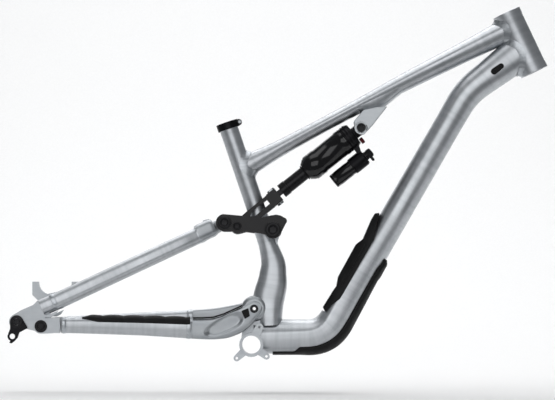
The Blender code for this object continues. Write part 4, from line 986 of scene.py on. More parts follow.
def pivot_skirt(side):
    """The fillet that carries the main pivot's boss out of the seat tube's side."""
    foot, top = 0.0262, 0.0292
    profile = [
        (foot - 0.006, 0.0150),
        (foot - 0.006, 0.0242),
        (foot, 0.0228),
        (foot + 0.0018, 0.0198),
        (top, 0.0176),
        (top, 0.0150),
    ]
    rounded = np.vstack([profile[:2], softened(profile[1:5], 0.003)[1:], profile[5:]])
    return turned_piece(
        "pivot_skirt_" + SIDES[side], rounded, in_space(main_pivot), (0, side, 0), FORGED,
        "front_frame", sides=72, ring=True,
    )


def bearing(node, look=STEEL):
    """A sealed cartridge bearing: two ground rings with a rubber seal sunk between them."""
    low, high = box(node)
    centre, half = (low + high) / 2, (high - low) / 2
    outer, width = half[0], half[1]
    bore = outer * 0.55
    edge = 0.0005
    profile = [
        (-width, bore + edge),
        (-width, bore + 0.25 * (outer - bore)),
        (-width + 0.0004, bore + 0.28 * (outer - bore)),
        (-width + 0.0004, outer - 0.28 * (outer - bore)),
        (-width, outer - 0.25 * (outer - bore)),
        (-width, outer - edge),
        (-width + edge, outer),
    ]
    profile = np.vstack([profile, np.array(profile)[::-1] * (-1, 1)])
    body = frame["nodes"][node]["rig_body"]
    return turned_piece(
        node + "_fine", profile, centre, (0, 1, 0), look, body, [node], 48, ring=True
    )


MOUNT_REACH = (box("shock_mount")[1] - box("shock_mount")[0])[1] / 2
MOUNT_EAR = 0.0070


def shock_mount():
    """Two ears beside the shock's eye; each runs forwards up the top tube's flank."""
    ear = np.vstack([
        shock_top + (-0.0135, 0.0120),
        arc(shock_top, 0.0125, 170, 312, 12),
        shock_top + softened([(0.0226, 0.0059), (0.0345, 0.0215), (0.0488, 0.0395)], 0.02, 6),
        shock_top + (0.0300, 0.0385),
        shock_top + (0.0040, 0.0330),
    ])
    spans = [sorted((side * (MOUNT_REACH - MOUNT_EAR), side * MOUNT_REACH)) for side in SIDES]
    return plate(
        "shock_mount_ears", [ear, ear], spans, 0.0014, FORGED, "front_frame",
        ["shock_mount"],
    )


def mount_keel(rows=60, columns=48):
    """The fin that carries the ears: it hangs from the top tube's middle and thins to an edge.

    At v from 1 at the tube's middle to -1 at the edge, it is half * (1 - ((1-v)/2)^2)^(1/2)
    to each side.
    """
    edge = [(-0.0090, 0.0290), (0.0160, 0.0240), (0.0330, 0.0300), (0.0740, 0.0632)]
    edge += [(0.0900, 0.0745), (0.1050, 0.0835)]
    edge = evenly(softened(shock_top + edge, 0.02, 8), rows)[:, None]
    line = top_tube_shape()[0][:, [0, 2]]
    height = np.interp(edge[..., 0], line[:, 0], line[:, 1])
    top = np.stack([edge[..., 0], height], axis=-1)
    angles = round_angles(columns)
    v = np.sin(angles)[None, :, None]
    flat = edge + (top - edge) * (1 + v) / 2
    half = 0.0178 * np.sign(np.cos(angles)) * np.sqrt(1 - ((1 - np.sin(angles)) / 2) ** 2)
    grid = np.insert(flat, 1, np.broadcast_to(half, flat.shape[:2]), axis=2)
    return piece(
        "shock_mount_keel", [(grid, capped(grid))], BRUSHED, "front_frame",
        ["shock_mount"], grid,
    )


shock_mount()
mount_keel()

for side in SIDES:
    pivot_skirt(side)
    for kind in ("main", "rocker", "rear"):
        bearing(f"{kind}_bearing_{SIDES[side]}")
print("forgings and bearings drawn")

# %% [markdown]
# ## Bolts
# Every pivot bolt has a wide flanged head with a hexagonal socket, turned from bar and
# anodised black. One function draws them all; each bolt's box gives its place and size.

# %% Bolts
HEAD_THICKNESS = 0.003


def bolt_profile(head, top, tip, thickness=HEAD_THICKNESS, socket=0.45):
    """Profile points and, for each, how hexagonal it is, from the tip out to the socket."""
    shank = 0.5 * head
    under = top - thickness
    deep = socket * head
    return np.array([
        (tip, 0, 0),
        (tip, shank, 0),
        (under, shank, 0),
        (under, head, 0),
        (top - 0.0011, head, 0),
        (top - 0.0004, head - 0.0005, 0),
        (top, head - 0.0012, 0),
        (top, deep + 0.0022, 0),
        (top - 0.0006, deep + 0.0014, 0),
        (top - 0.0006, deep + 0.0006, 1),
        (top - 0.0009, deep, 1),
        (top - 0.0028, deep, 1),
        (top - 0.0028, 0, 1),
    ])


def bolt(node, side, look=TURNED_BLACK, socket=0.42, sides=96):
    """A flanged bolt across the frame, in place of a CAD node."""
    low, high = box(node)
    ends = sorted((abs(low[1]), abs(high[1])))
    centre = in_space(side_view((low + high) / 2))
    distance, radius, hexness = bolt_profile((high - low)[0] / 2, ends[1], ends[0], socket=socket).T
    factor = hexagonal(hexness, sides)
    profile = np.column_stack([distance, radius])
    body = frame["nodes"][node]["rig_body"]
    return turned_piece(
        node + "_fine", profile, centre, (0, side, 0), look, body, [node], sides, factor
    )


for side in SIDES:
    for kind in ("rocker", "stay", "yoke", "rear_pivot"):
        bolt(f"{kind}_bolt_{SIDES[side]}", side)
print("bolts drawn")

# %% [markdown]
# ## Rocker link
# A black forged link of two plates and a bridge. Each pivot stands in its own round pad, and
# the plate between the pads is dished, which keeps the link stiff where it bends.

# %% Rocker link and its pads
LINK_OUTER = (box("rocker_link")[1] - box("rocker_link")[0])[1] / 2
refined("rocker_link", 0.0022, LINK_BLACK, 4)


def pad(name, point, radius, side):
    """A raised ring round a pivot on the link's outer face."""
    profile = [
        (LINK_OUTER - 0.002, radius - 0.003),
        (LINK_OUTER - 0.002, radius),
        (LINK_OUTER + 0.0004, radius - 0.0002),
        (LINK_OUTER + 0.0010, radius - 0.0008),
        (LINK_OUTER + 0.0010, radius - 0.0024),
        (LINK_OUTER + 0.0004, radius - 0.0030),
    ]
    return turned_piece(
        name + "_" + SIDES[side], profile, in_space(point), (0, side, 0), LINK_BLACK,
        "rocker", sides=72, ring=True,
    )


for side in SIDES:
    pad("link_pad_front", link_pivot, 0.0162, side)
    pad("link_pad_stay", stay_pivot, 0.0140, side)
print("link drawn,", round(2 * LINK_OUTER, 4), "wide")

# %% [markdown]
# ## Guards and ports
# The down tube's guard is a rubber moulding clipped under the tube, where stones and the
# truck's tailgate hit it. It begins as a thin lip behind the bottom bracket and ends in a
# thick stop. A second guard on the right chainstay has humps that hush the slapping chain.


# %% Guards moulded over tubes
def guard(name, shape, facing, half_angle, thickness, body, stands_for):
    """A skin over part of a tube: angles within half_angle of facing, thick at its middle.

    With v from -1 to 1 across it, the angle is facing + v half_angle and the skin stands
    thickness * (1 - |v|^10)^(1/2) over the tube, so its edges are round.
    """
    count = 25
    v = np.sin(np.linspace(-math.pi / 2, math.pi / 2, count))
    half_angle = np.broadcast_to(half_angle, len(shape[0]))
    thickness = np.broadcast_to(thickness, len(shape[0]))
    angles = np.radians(facing + v[None, :] * half_angle[:, None])
    grow = thickness[:, None] * np.sqrt(np.clip(1 - np.abs(v) ** 10, 0, 1))
    outside, _ = swept(shape, angles, grow)
    inside, _ = swept(shape, angles, -0.0006)
    grid = np.concatenate([outside, inside[:, ::-1]], axis=1)
    return piece(name, [(grid, capped(grid))], RUBBER, body, stands_for, sharp=50)


def down_tube_guard():
    part = tube_shape(*evenly_part(down_tube_shape(), 0.045, 0.392, 150))
    share = np.linspace(0, 1, 150)
    half_angle = 27 + 20 * ramp(share, 0.14, 0.19) - 6 * ramp(share, 0.3, 0.55)
    half_angle -= 8 * ramp(share, 0.90, 0.97)
    thickness = 0.0024 + 0.0032 * ramp(share, 0.15, 0.4) + 0.0014 * ramp(share, 0.84, 0.88)
    thickness *= 1 - ramp(share, 0.965, 1.02)
    return guard(
        "downtube_guard_fine", part, 270, half_angle, thickness, "front_frame",
        ["downtube_guard"],
    )


down_tube_guard()


# %% Hose ports in the down tube
def port_insert(side):
    """A rubber plug pressed into the slot."""
    face = 0.0262
    lip = port_outline()
    name = "hose_port_" + SIDES[side]
    spans = [sorted((side * 0.0215, side * face))]
    stands_for = ["hose_port"] if side == RIGHT else []
    return plate(
        name, [lip], spans, 0.0009, RUBBER, "front_frame", stands_for
    )


def port_holes(insert, side):
    """Two blind holes in the plug, one for each hose that may run through it."""
    places = [in_space(PORT_MIDDLE + step * HEAD_SLOPE) for step in (-0.0062, 0.0062)]
    holes = [cylinder(place, (0, side, 0), 0.0023, 0.0235, 0.03, 24) for place in places]
    return carved(insert, holes)


for side in SIDES:
    port_holes(port_insert(side), side)

# %% [markdown]
# ## Storage door
# The down tube is hollow and has a hatch for tools. The door is moulded nylon with a raised
# spine for a bottle cage and a latch let into it. Opened, it slides off along its own line.

# %% Door and latch
refined("storage_door", 0.0016, DOOR_PLASTIC, 3)
refined("door_latch", 0.0010, DOOR_PLASTIC, 3)


def rod_shape(line, width, height, count=24):
    """A thin bar of one section along a line."""
    return tube_shape(line, [(0, width, height, 2, 2, 0.5), (1, width, height, 2, 2, 0.5)], count)


def rod_piece(name, line, width, height, look, body, count=24, sides=16):
    grid, drawn = swept(rod_shape(line, width, height, count), round_angles(sides))
    return piece(name, [(grid, capped(grid))], look, body, drawn=drawn)


def door_ridge(side):
    """A rib moulded along the door's flank, which stiffens the thin wall."""
    line = np.linspace((0.1690, 0.1090), (0.2130, 0.1880), 12)
    return rod_piece(
        "door_ridge_" + SIDES[side], in_space(line, side * 0.0262), 0.0024, 0.0028,
        DOOR_PLASTIC, "storage_door",
    )


for side in SIDES:
    door_ridge(side)
print("guards, ports and door drawn")

# %% [markdown]
# ## Chainstays
# Two tubes lie between a forged yoke, which turns on the main pivot, and the clevises that
# hold the rear pivots. The yoke's right arm runs low past the chainring, so it is a deep
# blade, and its outer face is scooped to save weight without losing depth.

# %% Yoke
YOKE_ARM_MIDDLE = 0.0365
YOKE_ARM_WIDTH = 0.009
YOKE_ARM_LEAN = 0.125
EYE_RADIUS = 0.0145


def edge_line(points, eye_start, eye_end):
    """One edge of an arm, smooth, and on round the pivot's eye to the arm's far end."""
    eye = arc(main_pivot, EYE_RADIUS, eye_start, eye_end, 10)
    return np.vstack([curve(np.vstack([points, eye[:1]]), 6), eye[1:]])


def arm(side, lower, upper, scoop=0.0, rows=150, columns=72):
    """A forged arm between two edges that meet beyond the pivot.

    For u along the arm and f round its section, the side-view point is
    lower(u) + (upper(u) - lower(u)) (1 + sin f)/2, and it stands
    cos f/|cos f| * half * (1 - |sin f|^8)^(1/2) off the arm's middle plane, less the scoop.
    """
    lower, upper = evenly(lower, rows)[:, None], evenly(upper, rows)[:, None]
    angles = round_angles(columns)
    v = np.sin(angles)[None, :, None]
    flat = lower + (upper - lower) * (1 + v) / 2
    half = YOKE_ARM_WIDTH / 2
    thick = half * np.sign(np.cos(angles)) * np.sqrt(np.clip(1 - np.abs(np.sin(angles)) ** 8, 0, 1))
    lean = YOKE_ARM_LEAN * (main_pivot[0] - flat[..., 0])
    outwards = YOKE_ARM_MIDDLE + lean + thick
    outwards = outwards - scoop * scoop_share(flat) * (thick > 0)
    grid = np.insert(flat, 1, side * outwards, axis=2)
    return grid, capped(grid)


def scoop_share(flat):
    """1 on the scoop's floor and 0 outside it: a rounded lozenge along the arm.

    In its own axes (a, b) the edge is |a/length|^2.4 + |b/(width (1 + 0.22 a/length))|^2.4 = 1.
    """
    centre, slope = np.array([-0.0505, 0.0372]), along(26)
    a = (flat - centre) @ slope / 0.0415
    b = (flat - centre) @ np.array([-slope[1], slope[0]]) / (0.0150 * (1 + 0.22 * a))
    return ramp(1 - (np.abs(a) ** 2.4 + np.abs(b) ** 2.4) ** (1 / 2.4), 0.0, 0.30)


def yoke():
    right_lower = [(-0.1120, 0.0120), (-0.0900, 0.0108), (-0.0730, 0.0104), (-0.0550, 0.0114)]
    right_lower += [(-0.0400, 0.0140), (-0.0200, 0.0220), (-0.0100, 0.0290), (0.0004, 0.0380)]
    right_upper = [(-0.1120, 0.0485), (-0.0900, 0.0485), (-0.0700, 0.0498)]
    right_upper += [(-0.0500, 0.0560), (-0.0150, 0.0720)]
    left_lower = [(-0.1120, 0.0362), (-0.0600, 0.0400), (-0.0150, 0.0505)]
    left_upper = [(-0.1120, 0.0642), (-0.0600, 0.0690)]
    right = arm(
        RIGHT, edge_line(right_lower, -40, 30), edge_line(right_upper, 100, 30), scoop=0.0042
    )
    left = arm(LEFT, edge_line(left_lower, -60, 20), edge_line(left_upper, 100, 20))
    bridge = closed_softened(
        [(-0.0520, 0.0420), (-0.0290, 0.0450), (-0.0290, 0.0600), (-0.0520, 0.0540)], 0.003
    )
    shells = [right, left, plate_shell(bridge, -YOKE_ARM_MIDDLE, YOKE_ARM_MIDDLE)]
    made = piece(
        "yoke_fine", shells, FORGED, "chainstay", ["chainstay_yoke"], sharp=50
    )
    return carved(made, [cylinder(in_space(main_pivot), (0, 1, 0), AXLE_HOLE, -0.06, 0.06)])


def pivot_axle():
    """The hollow main axle, with a black flange in each eye of the yoke."""
    reach = box("main_pivot_axle")[1][1]
    bore, shank, flange = 0.0027, 0.0053, 0.0078
    profile = [
        (-reach - 0.0006, bore + 0.0004),
        (-reach - 0.0006, flange - 0.0005),
        (-reach - 0.0001, flange),
        (-reach + 0.0012, flange),
        (-reach + 0.0012, shank),
    ]
    profile = np.vstack([profile, (np.array(profile) * (-1, 1))[::-1]])
    return turned_piece(
        "main_pivot_axle_fine", profile, in_space(main_pivot), (0, 1, 0), TURNED_BLACK,
        "chainstay", ["main_pivot_axle"], ring=True,
    )


yoke()
pivot_axle()
refined("hose_grommet", 0.0008, RUBBER, 3)
refined("yoke_guard", 0.0009, RUBBER, 3)


# %% Stays of the chainstay
def chainstay_shape(side):
    """The right stay runs low, clear of the chain; the left one runs straight to its pivot."""
    rise = (0.0, 0.0) if side == RIGHT else (0.0042, 0.0116)
    path = [
        (rear_pivot[0] + 0.0371, side * 0.0790, 0.0372),
        (-0.2900, side * 0.0715, 0.0366 + rise[0]),
        (-0.2000, side * 0.0605, 0.0342 + rise[1]),
        (-0.1100, side * 0.0512, 0.0303 if side == RIGHT else 0.0502),
    ]
    heights = (0.0285, 0.0310, 0.0330, 0.0365) if side == RIGHT else (0.0285,) * 4
    stations = [
        (share, 0.018, height, 2.6, 2.4, 0.55)
        for share, height in zip((0, 0.26, 0.63, 1), heights)
    ]
    return tube_shape(curve(path, 10), stations, 110)


for side in SIDES:
    shape = chainstay_shape(side)
    name = SIDES[side]
    tube_piece(
        "chainstay_fine_" + name, shape, WALL, BRUSHED, "chainstay",
        ["chainstay_" + name],
    )
    band_weld("weld_yoke_" + name, shape, 0.955, 1.0, "chainstay")
    band_weld("weld_clevis_" + name, shape, 0.0, 0.035, "chainstay")
    refined("rear_clevis_" + name, 0.0024, FORGED, 4)


def chainstay_guard():
    """Rubber over the top of the right stay, in a row of low humps."""
    part = tube_shape(*evenly_part(chainstay_shape(RIGHT), 0.16, 0.985, 180))
    share = np.linspace(0, 1, 180)
    humps = np.abs(np.sin(share * 5.2 * math.pi)) ** 0.6
    thickness = (0.0028 + 0.0020 * humps) * (0.25 + 0.75 * ramp(share, 0.0, 0.10))
    half_angle = 42 + 28 * ramp(share, 0.0, 0.16)
    return guard(
        "chainstay_guard_fine", part, 90, half_angle, thickness, "chainstay",
        ["chainstay_guard"],
    )


chainstay_guard()
print("chainstays drawn")

# %% [markdown]
# ## Seatstays
# The seatstays carry the rear wheel. Their tubes have a flat flank and a facet below it, a
# section that a shaped die gives, and they end in forged dropouts at the axle and in a forged
# bridge at the link.


# %% Stays of the seatstay
def seatstay_shape(side):
    path = [
        (-0.3875, side * 0.0790, 0.0703),
        (-0.3495, side * 0.0765, 0.0873),
        (-0.2400, side * 0.0680, 0.1385),
        (-0.1400, side * 0.0535, 0.1850),
        (-0.1050, side * 0.0450, 0.2012),
        (-0.0865, side * 0.0390, 0.2098),
    ]
    stations = [
        (0.00, 0.018, 0.028, 2.6, 2.0, 0.40),
        (0.20, 0.018, 0.028, 3.4, 1.35, 0.30),
        (0.80, 0.017, 0.028, 3.4, 1.35, 0.30),
        (1.00, 0.016, 0.028, 2.8, 2.0, 0.45),
    ]
    return tube_shape(curve(path, 8), stations, 130)


for side in SIDES:
    shape = seatstay_shape(side)
    name = SIDES[side]
    tube_piece(
        "seatstay_fine_" + name, shape, 0.0016, BRUSHED, "seatstay",
        ["seatstay_" + name],
    )
    band_weld("weld_bridge_" + name, shape, 0.945, 0.995, "seatstay")
    band_weld("weld_dropout_" + name, shape, 0.06, 0.095, "seatstay", rise=0.0006)

DROPOUT_POCKET = [
    (-0.4235, 0.0585),
    (-0.4110, 0.0630),
    (-0.3925, 0.0600),
    (-0.3925, 0.0520),
    (-0.4120, 0.0500),
]


def pocket_cutter(side):
    """A shallow recess milled into the dropout's outer face, to lighten it."""
    face = max(abs(box("dropout_" + SIDES[side])[0][1]), abs(box("dropout_" + SIDES[side])[1][1]))
    outline = closed_softened(DROPOUT_POCKET, 0.003)
    return cutter(*plate_shell(outline, *sorted((side * (face - 0.0018), side * (face + 0.01)))))


for side in SIDES:
    refined(
        "dropout_" + SIDES[side], 0.0015, FORGED, 3, [pocket_cutter(side)]
    )
refined("seatstay_bridge", 0.0014, FORGED, 3)


def bridge_end(side):
    """The forged block that each stay is welded to, just behind the link.

    It lies over the end of the plain bridge, along the stay's own line.
    """
    path = [(-0.1000, side * 0.0436, 0.2062), (-0.0700, side * 0.0380, 0.2200)]
    stations = [
        (0.00, 0.0175, 0.0300, 3.4, 3.0, 0.5),
        (0.15, 0.0180, 0.0325, 3.6, 3.2, 0.5),
        (0.85, 0.0180, 0.0325, 3.6, 3.2, 0.5),
        (1.00, 0.0160, 0.0290, 3.4, 3.0, 0.5),
    ]
    shape = tube_shape(np.array(path), stations, 30)
    grid, drawn = swept(shape, round_angles(64))
    return piece(
        "bridge_end_" + SIDES[side], [(grid, capped(grid))], FORGED, "seatstay",
        ["seatstay_bridge"], drawn,
    )


for side in SIDES:
    bridge_end(side)
refined("brake_mount", 0.0013, FORGED, 3)
refined("derailleur_hanger", 0.0007, ANODISED, 3)


# %% Rear axle
def rear_axle():
    """The through axle: a bolt head on the left, a plain threaded tip on the right."""
    low, high = box("rear_axle")
    radius = 0.006
    tip, top = low[1], high[1]
    profile = [
        (tip, 0),
        (tip, radius - 0.0008),
        (tip + 0.0008, radius),
        (top - 0.005, radius),
        (top - 0.005, 0.0090),
        (top - 0.0008, 0.0090),
        (top, 0.0082),
        (top, 0.0044),
        (top - 0.0002, 0.0036),
        (top - 0.0035, 0.0036),
        (top - 0.0035, 0),
    ]
    factor = hexagonal([0] * (len(profile) - 3) + [1] * 3)
    return turned_piece(
        "rear_axle_fine", profile, in_space(axle), (0, 1, 0), TURNED_BLACK, "seatstay",
        ["rear_axle"], 96, factor,
    )


def axle_nut():
    low, high = box("axle_nut")
    outer = (high - low)[0] / 2
    profile = [
        (high[1], 0.0062),
        (high[1], outer),
        (low[1] + 0.0009, outer),
        (low[1], outer - 0.0012),
        (low[1], outer - 0.0030),
        (low[1] + 0.0006, outer - 0.0036),
        (low[1] + 0.0006, 0.0062),
    ]
    return turned_piece(
        "axle_nut_fine", profile, in_space(axle), (0, 1, 0), TURNED_BLACK, "seatstay",
        ["axle_nut"], ring=True,
    )


rear_axle()
axle_nut()
print("seatstays drawn")

# %% [markdown]
# ## Shock
# An air shock: a can slides over a shaft, and a reservoir beside it holds the oil that the
# shaft pushes out. Everything is turned, so each piece is a profile: the steps, grooves and
# wiper seals of the real one are corners in that profile. The shaft ends in a long yoke that
# straddles the seat tube to reach the link.

# %% Shock body
EYE_TO_EYE = 0.205
RESERVOIR_OFFSET = -0.0465
CAN_TOP, CAN_SEAL, CAN_BOTTOM = 0.036, 0.118, 0.132
CAN_RADIUS = 0.025
SHAFT_RADIUS = 0.0128
CLAMP_BOLT_RADIUS = 0.0040


def on_shock(distance, over=0.0):
    """A point this far down the shock from its upper eye, and this far over its axis."""
    return shock_top + distance * shock_down + over * shock_over


def shock_piece(name, profile, look, body, stands_for=(), over=0.0, sides=72,
                factor=1.0, ring=False):
    """A piece turned on the shock's axis, or on a line beside it."""
    return turned_piece(
        name, profile, in_space(on_shock(0, over)), in_space(shock_down), look, body,
        stands_for, sides, factor, ring,
    )


def groove(place, radius, width=0.0012, depth=0.0009):
    """Four profile points of a square groove."""
    return [
        (place, radius),
        (place + 0.15 * width, radius - depth),
        (place + 0.85 * width, radius - depth),
        (place + width, radius),
    ]


def air_can():
    radius = CAN_RADIUS
    outside = [
        (CAN_TOP, radius - 0.0012),
        (CAN_TOP + 0.0008, radius),
        *groove(CAN_TOP + 0.004, radius),
        (CAN_TOP + 0.012, radius),
        (CAN_TOP + 0.0135, radius - 0.0010),
        (CAN_SEAL - 0.020, radius - 0.0010),
        (CAN_SEAL - 0.0185, radius),
        *groove(CAN_SEAL - 0.008, radius),
        (CAN_SEAL + 0.002, radius),
        (CAN_SEAL + 0.005, radius - 0.0022),
        (CAN_SEAL + 0.0065, radius - 0.0024),
        (CAN_BOTTOM - 0.002, 0.0182),
        (CAN_BOTTOM, 0.0172),
    ]
    inside = [
        (CAN_BOTTOM, SHAFT_RADIUS + 0.0008),
        (CAN_SEAL, SHAFT_RADIUS + 0.0008),
        (CAN_SEAL, radius - 0.003),
        (CAN_TOP, radius - 0.003),
    ]
    return shock_piece(
        "air_can_fine", np.vstack([outside, inside]), CAN_BLACK, "shock_body",
        ["air_can"], sides=120, ring=True,
    )


def reservoir():
    radius = 0.0142
    top, bottom = 0.058, 0.098
    profile = [
        (top, 0),
        (top, radius - 0.0006),
        (top + 0.0006, radius),
        *groove(top + 0.003, radius),
        *groove(top + 0.0055, radius),
        (bottom - 0.006, radius),
        (bottom - 0.0052, radius - 0.0006),
        (bottom, radius - 0.0006),
        (bottom, 0),
    ]
    return shock_piece(
        "reservoir_fine", profile, CAN_BLACK, "shock_body", ["reservoir"],
        over=RESERVOIR_OFFSET, sides=96,
    )


def reservoir_cap():
    """The cap over the reservoir's air valve, with a hexagonal key recess."""
    start = 0.0983
    rows = np.array([
        (start, 0, 0),
        (start, 0.0135, 0),
        (start + 0.0026, 0.0135, 0),
        (start + 0.0042, 0.0122, 0),
        (start + 0.0045, 0.0066, 0),
        (start + 0.0045, 0.0056, 1),
        (start + 0.0022, 0.0052, 1),
        (start + 0.0022, 0, 1),
    ])
    factor = hexagonal(rows[:, 2])
    return shock_piece(
        "reservoir_cap_fine", rows[:, :2], TURNED_BLACK, "shock_body",
        ["reservoir_cap"], RESERVOIR_OFFSET, 96, factor,
    )


def head_bands():
    """Two polished ribs round the head, where a strap wrench holds it."""
    for number, place in enumerate((0.0245, 0.0300)):
        profile = [
            (place, 0.0230),
            (place, 0.0246),
            (place + 0.0008, 0.0250),
            (place + 0.0022, 0.0250),
            (place + 0.0030, 0.0246),
            (place + 0.0030, 0.0230),
        ]
        shock_piece(
            f"shock_head_rib_{number}", profile, TURNED_BLACK, "shock_body",
            sides=96, ring=True,
        )


def travel_ring():
    start, radius = CAN_BOTTOM + 0.0004, SHAFT_RADIUS + 0.0001
    profile = arc((start + 0.0015, radius + 0.0011), 0.0013, 180, -180, 16)[:-1]
    return shock_piece(
        "travel_ring_fine", profile, RUBBER, "shock_body", ["travel_ring"],
        sides=72, ring=True,
    )


refined("shock_head", 0.0016, ANODISED, 4)
air_can()
head_bands()
reservoir()
reservoir_cap()
travel_ring()


# %% Dials
def knurl(angles, count, depth, rows):
    """A factor that ripples round the turn by depth, on the rows that are marked 1."""
    return 1 - np.asarray(rows, float)[:, None] * depth * np.abs(np.sin(count * angles / 2))


def dial(name, body, look, rows, over, count, stands_for):
    """A knurled dial beside the shock's axis: rows are (distance, radius, knurled)."""
    rows = np.array(rows)
    angles = round_angles(144)
    factor = knurl(angles, count, 0.07, rows[:, 2])
    return shock_piece(
        name, rows[:, :2], look, body, stands_for, over, 144, factor
    )


REBOUND_ROWS = [
    (0.0095, 0, 0),
    (0.0095, 0.0050, 0),
    (0.0102, 0.0058, 0),
    (0.0108, 0.0060, 1),
    (0.0154, 0.0060, 1),
    (0.0160, 0.0056, 0),
    (0.0160, 0, 0),
]
LEVER_ROWS = [
    (0.0115, 0, 0),
    (0.0115, 0.0062, 0),
    (0.0122, 0.0072, 0),
    (0.0135, 0.0085, 1),
    (0.0200, 0.0085, 1),
    (0.0208, 0.0078, 0),
    (0.0226, 0.0078, 0),
    (0.0232, 0.0084, 0),
    (0.0265, 0.0084, 0),
    (0.0265, 0, 0),
]
dial(
    "rebound_dial_fine", "rebound_dial", TURNED_RED, REBOUND_ROWS, -0.0195, 18,
    ["rebound_dial"],
)
dial(
    "compression_dial_fine", "compression_dial", TURNED_BLACK, LEVER_ROWS,
    RESERVOIR_OFFSET, 24, ["compression_lever"],
)


def lever_arm():
    """The thumb of the compression lever, round at its tip."""
    root = on_shock(0.0188, RESERVOIR_OFFSET - 0.004)
    tip = on_shock(0.0188, RESERVOIR_OFFSET - 0.0140)
    outline = belt(root, 0.0030, tip, 0.0025)
    return plate(
        "compression_thumb", [outline], [(-0.0030, 0.0030)], 0.0008, ANODISED,
        "compression_dial",
    )


lever_arm()


# %% Shaft and yoke
def shock_shaft():
    profile = [
        (0.100, 0),
        (0.100, SHAFT_RADIUS),
        (0.176, SHAFT_RADIUS),
        (0.1765, SHAFT_RADIUS + 0.0009),
        (0.1895, SHAFT_RADIUS + 0.0009),
        (0.1900, SHAFT_RADIUS),
        (0.1900, 0),
    ]
    grid, drawn = turned(profile, in_space(shock_top), in_space(shock_down), 96)
    tongue = np.array([on_shock(*corner) for corner in (
        (0.180, -0.0055), (0.180, 0.0055), (0.213, 0.0055), (0.213, -0.0055)
    )])
    tongue_grid, tongue_faces = plate_shell(tongue, -0.0105, 0.0105)
    drawn = np.vstack([drawn.reshape(-1, 3), tongue_grid.reshape(-1, 3)])
    shells = [(grid, grid_faces(*grid.shape[:2])), (tongue_grid, tongue_faces)]
    return piece(
        "shock_shaft_fine", shells, TURNED_BLACK, "shock_shaft",
        ["shock_shaft"], drawn,
    )


def clamp_bolt():
    """The bolt through the yoke and the shaft's tongue, square to the shock."""
    start = in_space(on_shock(EYE_TO_EYE))
    rows = np.array([
        (-0.0165, 0, 1),
        (-0.0165, 0.0030, 1),
        (-0.0188, 0.0030, 1),
        (-0.0188, 0.0060, 0),
        (-0.0182, 0.0066, 0),
        (-0.0153, 0.0066, 0),
        (-0.0153, CLAMP_BOLT_RADIUS, 0),
        (0.0128, CLAMP_BOLT_RADIUS, 0),
        (0.0128, 0.0064, 1),
        (0.0156, 0.0064, 1),
        (0.0160, 0.0056, 0),
        (0.0160, 0, 0),
    ])
    factor = hexagonal(rows[:, 2])
    return turned_piece(
        "yoke_clamp_bolt_fine", rows[:, :2], start, in_space(shock_over), STEEL,
        "shock_shaft", ["yoke_clamp_bolt"], 96, factor,
    )


shock_shaft()
clamp_bolt()
refined("shock_yoke", 0.0016, LINK_BLACK, 3)
print("shock drawn")

# %% [markdown]
# ## Small bolts
# The seat collar is closed by a socket-headed screw, and the shock hangs on a bolt between
# two ears. Both run right across, so each is one turned piece with a head at each end.


# %% Small bolts
def through_bolt(node, heads, shank, socket, look):
    """A bolt right across the frame: heads are (start, end, radius) from right to left."""
    low, high = box(node)
    (start, right_end, right_radius), (left_start, end, left_radius) = heads
    edge = 0.0006
    rows = np.array([
        (start + 0.0020, 0, 1),
        (start + 0.0020, socket, 1),
        (start + 0.0003, socket, 1),
        (start, socket + 0.0008, 0),
        (start, right_radius - edge, 0),
        (start + edge, right_radius, 0),
        (right_end, right_radius, 0),
        (right_end, shank, 0),
        (left_start, shank, 0),
        (left_start, left_radius, 0),
        (end - edge, left_radius, 0),
        (end, left_radius - edge, 0),
        (end, 0, 0),
    ])
    factor = hexagonal(rows[:, 2])
    centre = in_space(side_view((low + high) / 2))
    body = frame["nodes"][node]["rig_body"]
    return turned_piece(
        node + "_fine", rows[:, :2], centre, (0, 1, 0), look, body, [node], 96, factor
    )


reach = box("shock_mount_bolt")[1][1]
through_bolt(
    "shock_mount_bolt",
    [(-reach, -reach + 0.0030, 0.0085), (reach - 0.0030, reach, 0.0085)],
    0.0048, 0.0036, TURNED_BLACK,
)
low, high = box("seat_collar_bolt")
through_bolt(
    "seat_collar_bolt",
    [(low[1], low[1] + 0.0032, 0.0036), (high[1] - 0.0010, high[1], 0.0022)],
    0.0022, 0.0016, STEEL,
)


def mount_washer(side):
    """The bright machined ring round the shock's upper bolt."""
    face = reach - 0.0030
    profile = [
        (face - 0.0020, 0.0088),
        (face - 0.0020, 0.0125),
        (face - 0.0004, 0.0125),
        (face, 0.0120),
        (face, 0.0088),
    ]
    return turned_piece(
        "mount_ring_" + SIDES[side], profile, in_space(shock_top), (0, side, 0), MACHINED,
        "front_frame", ring=True,
    )


for side in SIDES:
    mount_washer(side)
print("bolts and rings drawn")

# %% [markdown]
# ## Studio
# A pale floor that curves up behind the frame, a broad soft light overhead, a soft one from
# the camera's side and a weak one on the backdrop. The camera stands far off, level with the
# frame, as for a catalogue picture of its drive side.

# %% Floor and backdrop
FLOOR = -0.0900
PAPER_HALF = 1.9
PAPER_FRONT, PAPER_BACK, PAPER_TOP = -0.48, 2.6, 3.0
frame_low, frame_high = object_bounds()
frame_middle = (np.array(frame_low) + np.array(frame_high)) / 2


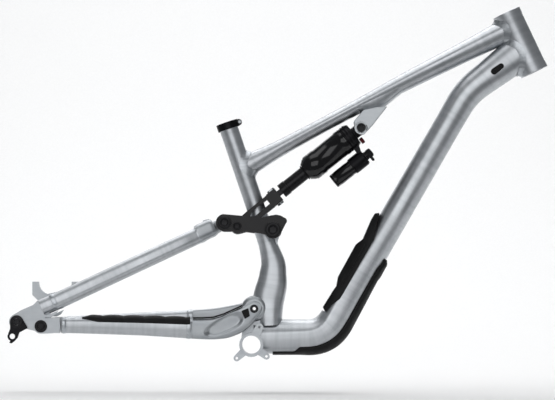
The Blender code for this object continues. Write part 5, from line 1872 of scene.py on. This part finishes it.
def sweep_paper():
    """White paper that lies flat and then curves up, well behind the frame."""
    corners = [(PAPER_FRONT, FLOOR), (PAPER_BACK, FLOOR), (PAPER_BACK, PAPER_TOP)]
    line = softened(corners, 2.0, 32)
    grid = np.stack([np.column_stack([np.full(len(line), x), line]) for x in (-PAPER_HALF, PAPER_HALF)])
    mesh = bpy.data.meshes.new("paper")
    rows, columns = grid.shape[:2]
    faces = grid_faces(rows, columns, loop_columns=False)
    mesh.from_pydata(grid.reshape(-1, 3).tolist(), [], faces)
    mesh.shade_smooth()
    material, tree, shader = blank("Matt white studio paper")
    fibres = noise(tree, object_place(tree), 0.004, detail=3.0)
    shade(tree, shader, fibres, "#F6F6F6", "#FAFAFA")
    gloss(tree, shader, fibres, 0.85, 0.95)
    mesh.materials.append(material)
    made = bpy.data.objects.new("paper", mesh)
    bpy.context.scene.collection.objects.link(made)


sweep_paper()


# %% Lights and camera
def soft_light(name, place, towards, size, power):
    light = bpy.data.lights.new(name, "AREA")
    light.shape = "RECTANGLE"
    light.size, light.size_y = size
    light.energy = power
    made = bpy.data.objects.new(name, light)
    made.location = place
    direction = (frame_middle + towards - np.array(place)).tolist()
    made.rotation_euler = Vector(direction).to_track_quat("-Z", "Y").to_euler()
    bpy.context.scene.collection.objects.link(made)


soft_light("overhead", (0.0, 0.2, 3.0), (0, 0.2, 0), (4.0, 3.6), 66)
soft_light("camera_side", (-0.4, -7.4, 1.6), (0, 0, 0), (6.4, 4.4), 138)
soft_light("backdrop", (0.0, 1.5, 3.0), (0, 2.6, 0.5), (3.8, 0.8), 30)

world = bpy.data.worlds.new("studio")
bpy.context.scene.world = world
world.use_nodes = True
world.node_tree.nodes["Background"].inputs["Color"].default_value = linear("#E4E7EA")
world.node_tree.nodes["Background"].inputs["Strength"].default_value = 0.26

VIEW_WIDTH = 1.0379  # metres across the picture, at the frame
DISTANCE = 6.0
SENSOR = 36  # millimetres
EYE_LEVEL = 0.112
VIEW_MIDDLE = 0.0488
camera_data = bpy.data.cameras.new("camera")
camera_data.sensor_width = SENSOR
camera_data.lens = SENSOR * DISTANCE / VIEW_WIDTH
camera_data.shift_y = 0.1526
camera_data.clip_end = 50
camera = bpy.data.objects.new("camera", camera_data)
camera.location = (VIEW_MIDDLE, -DISTANCE, EYE_LEVEL)
camera.rotation_euler = (math.pi / 2, 0, 0)
bpy.context.scene.collection.objects.link(camera)
bpy.context.scene.camera = camera
bpy.context.scene.view_settings.view_transform = "Standard"
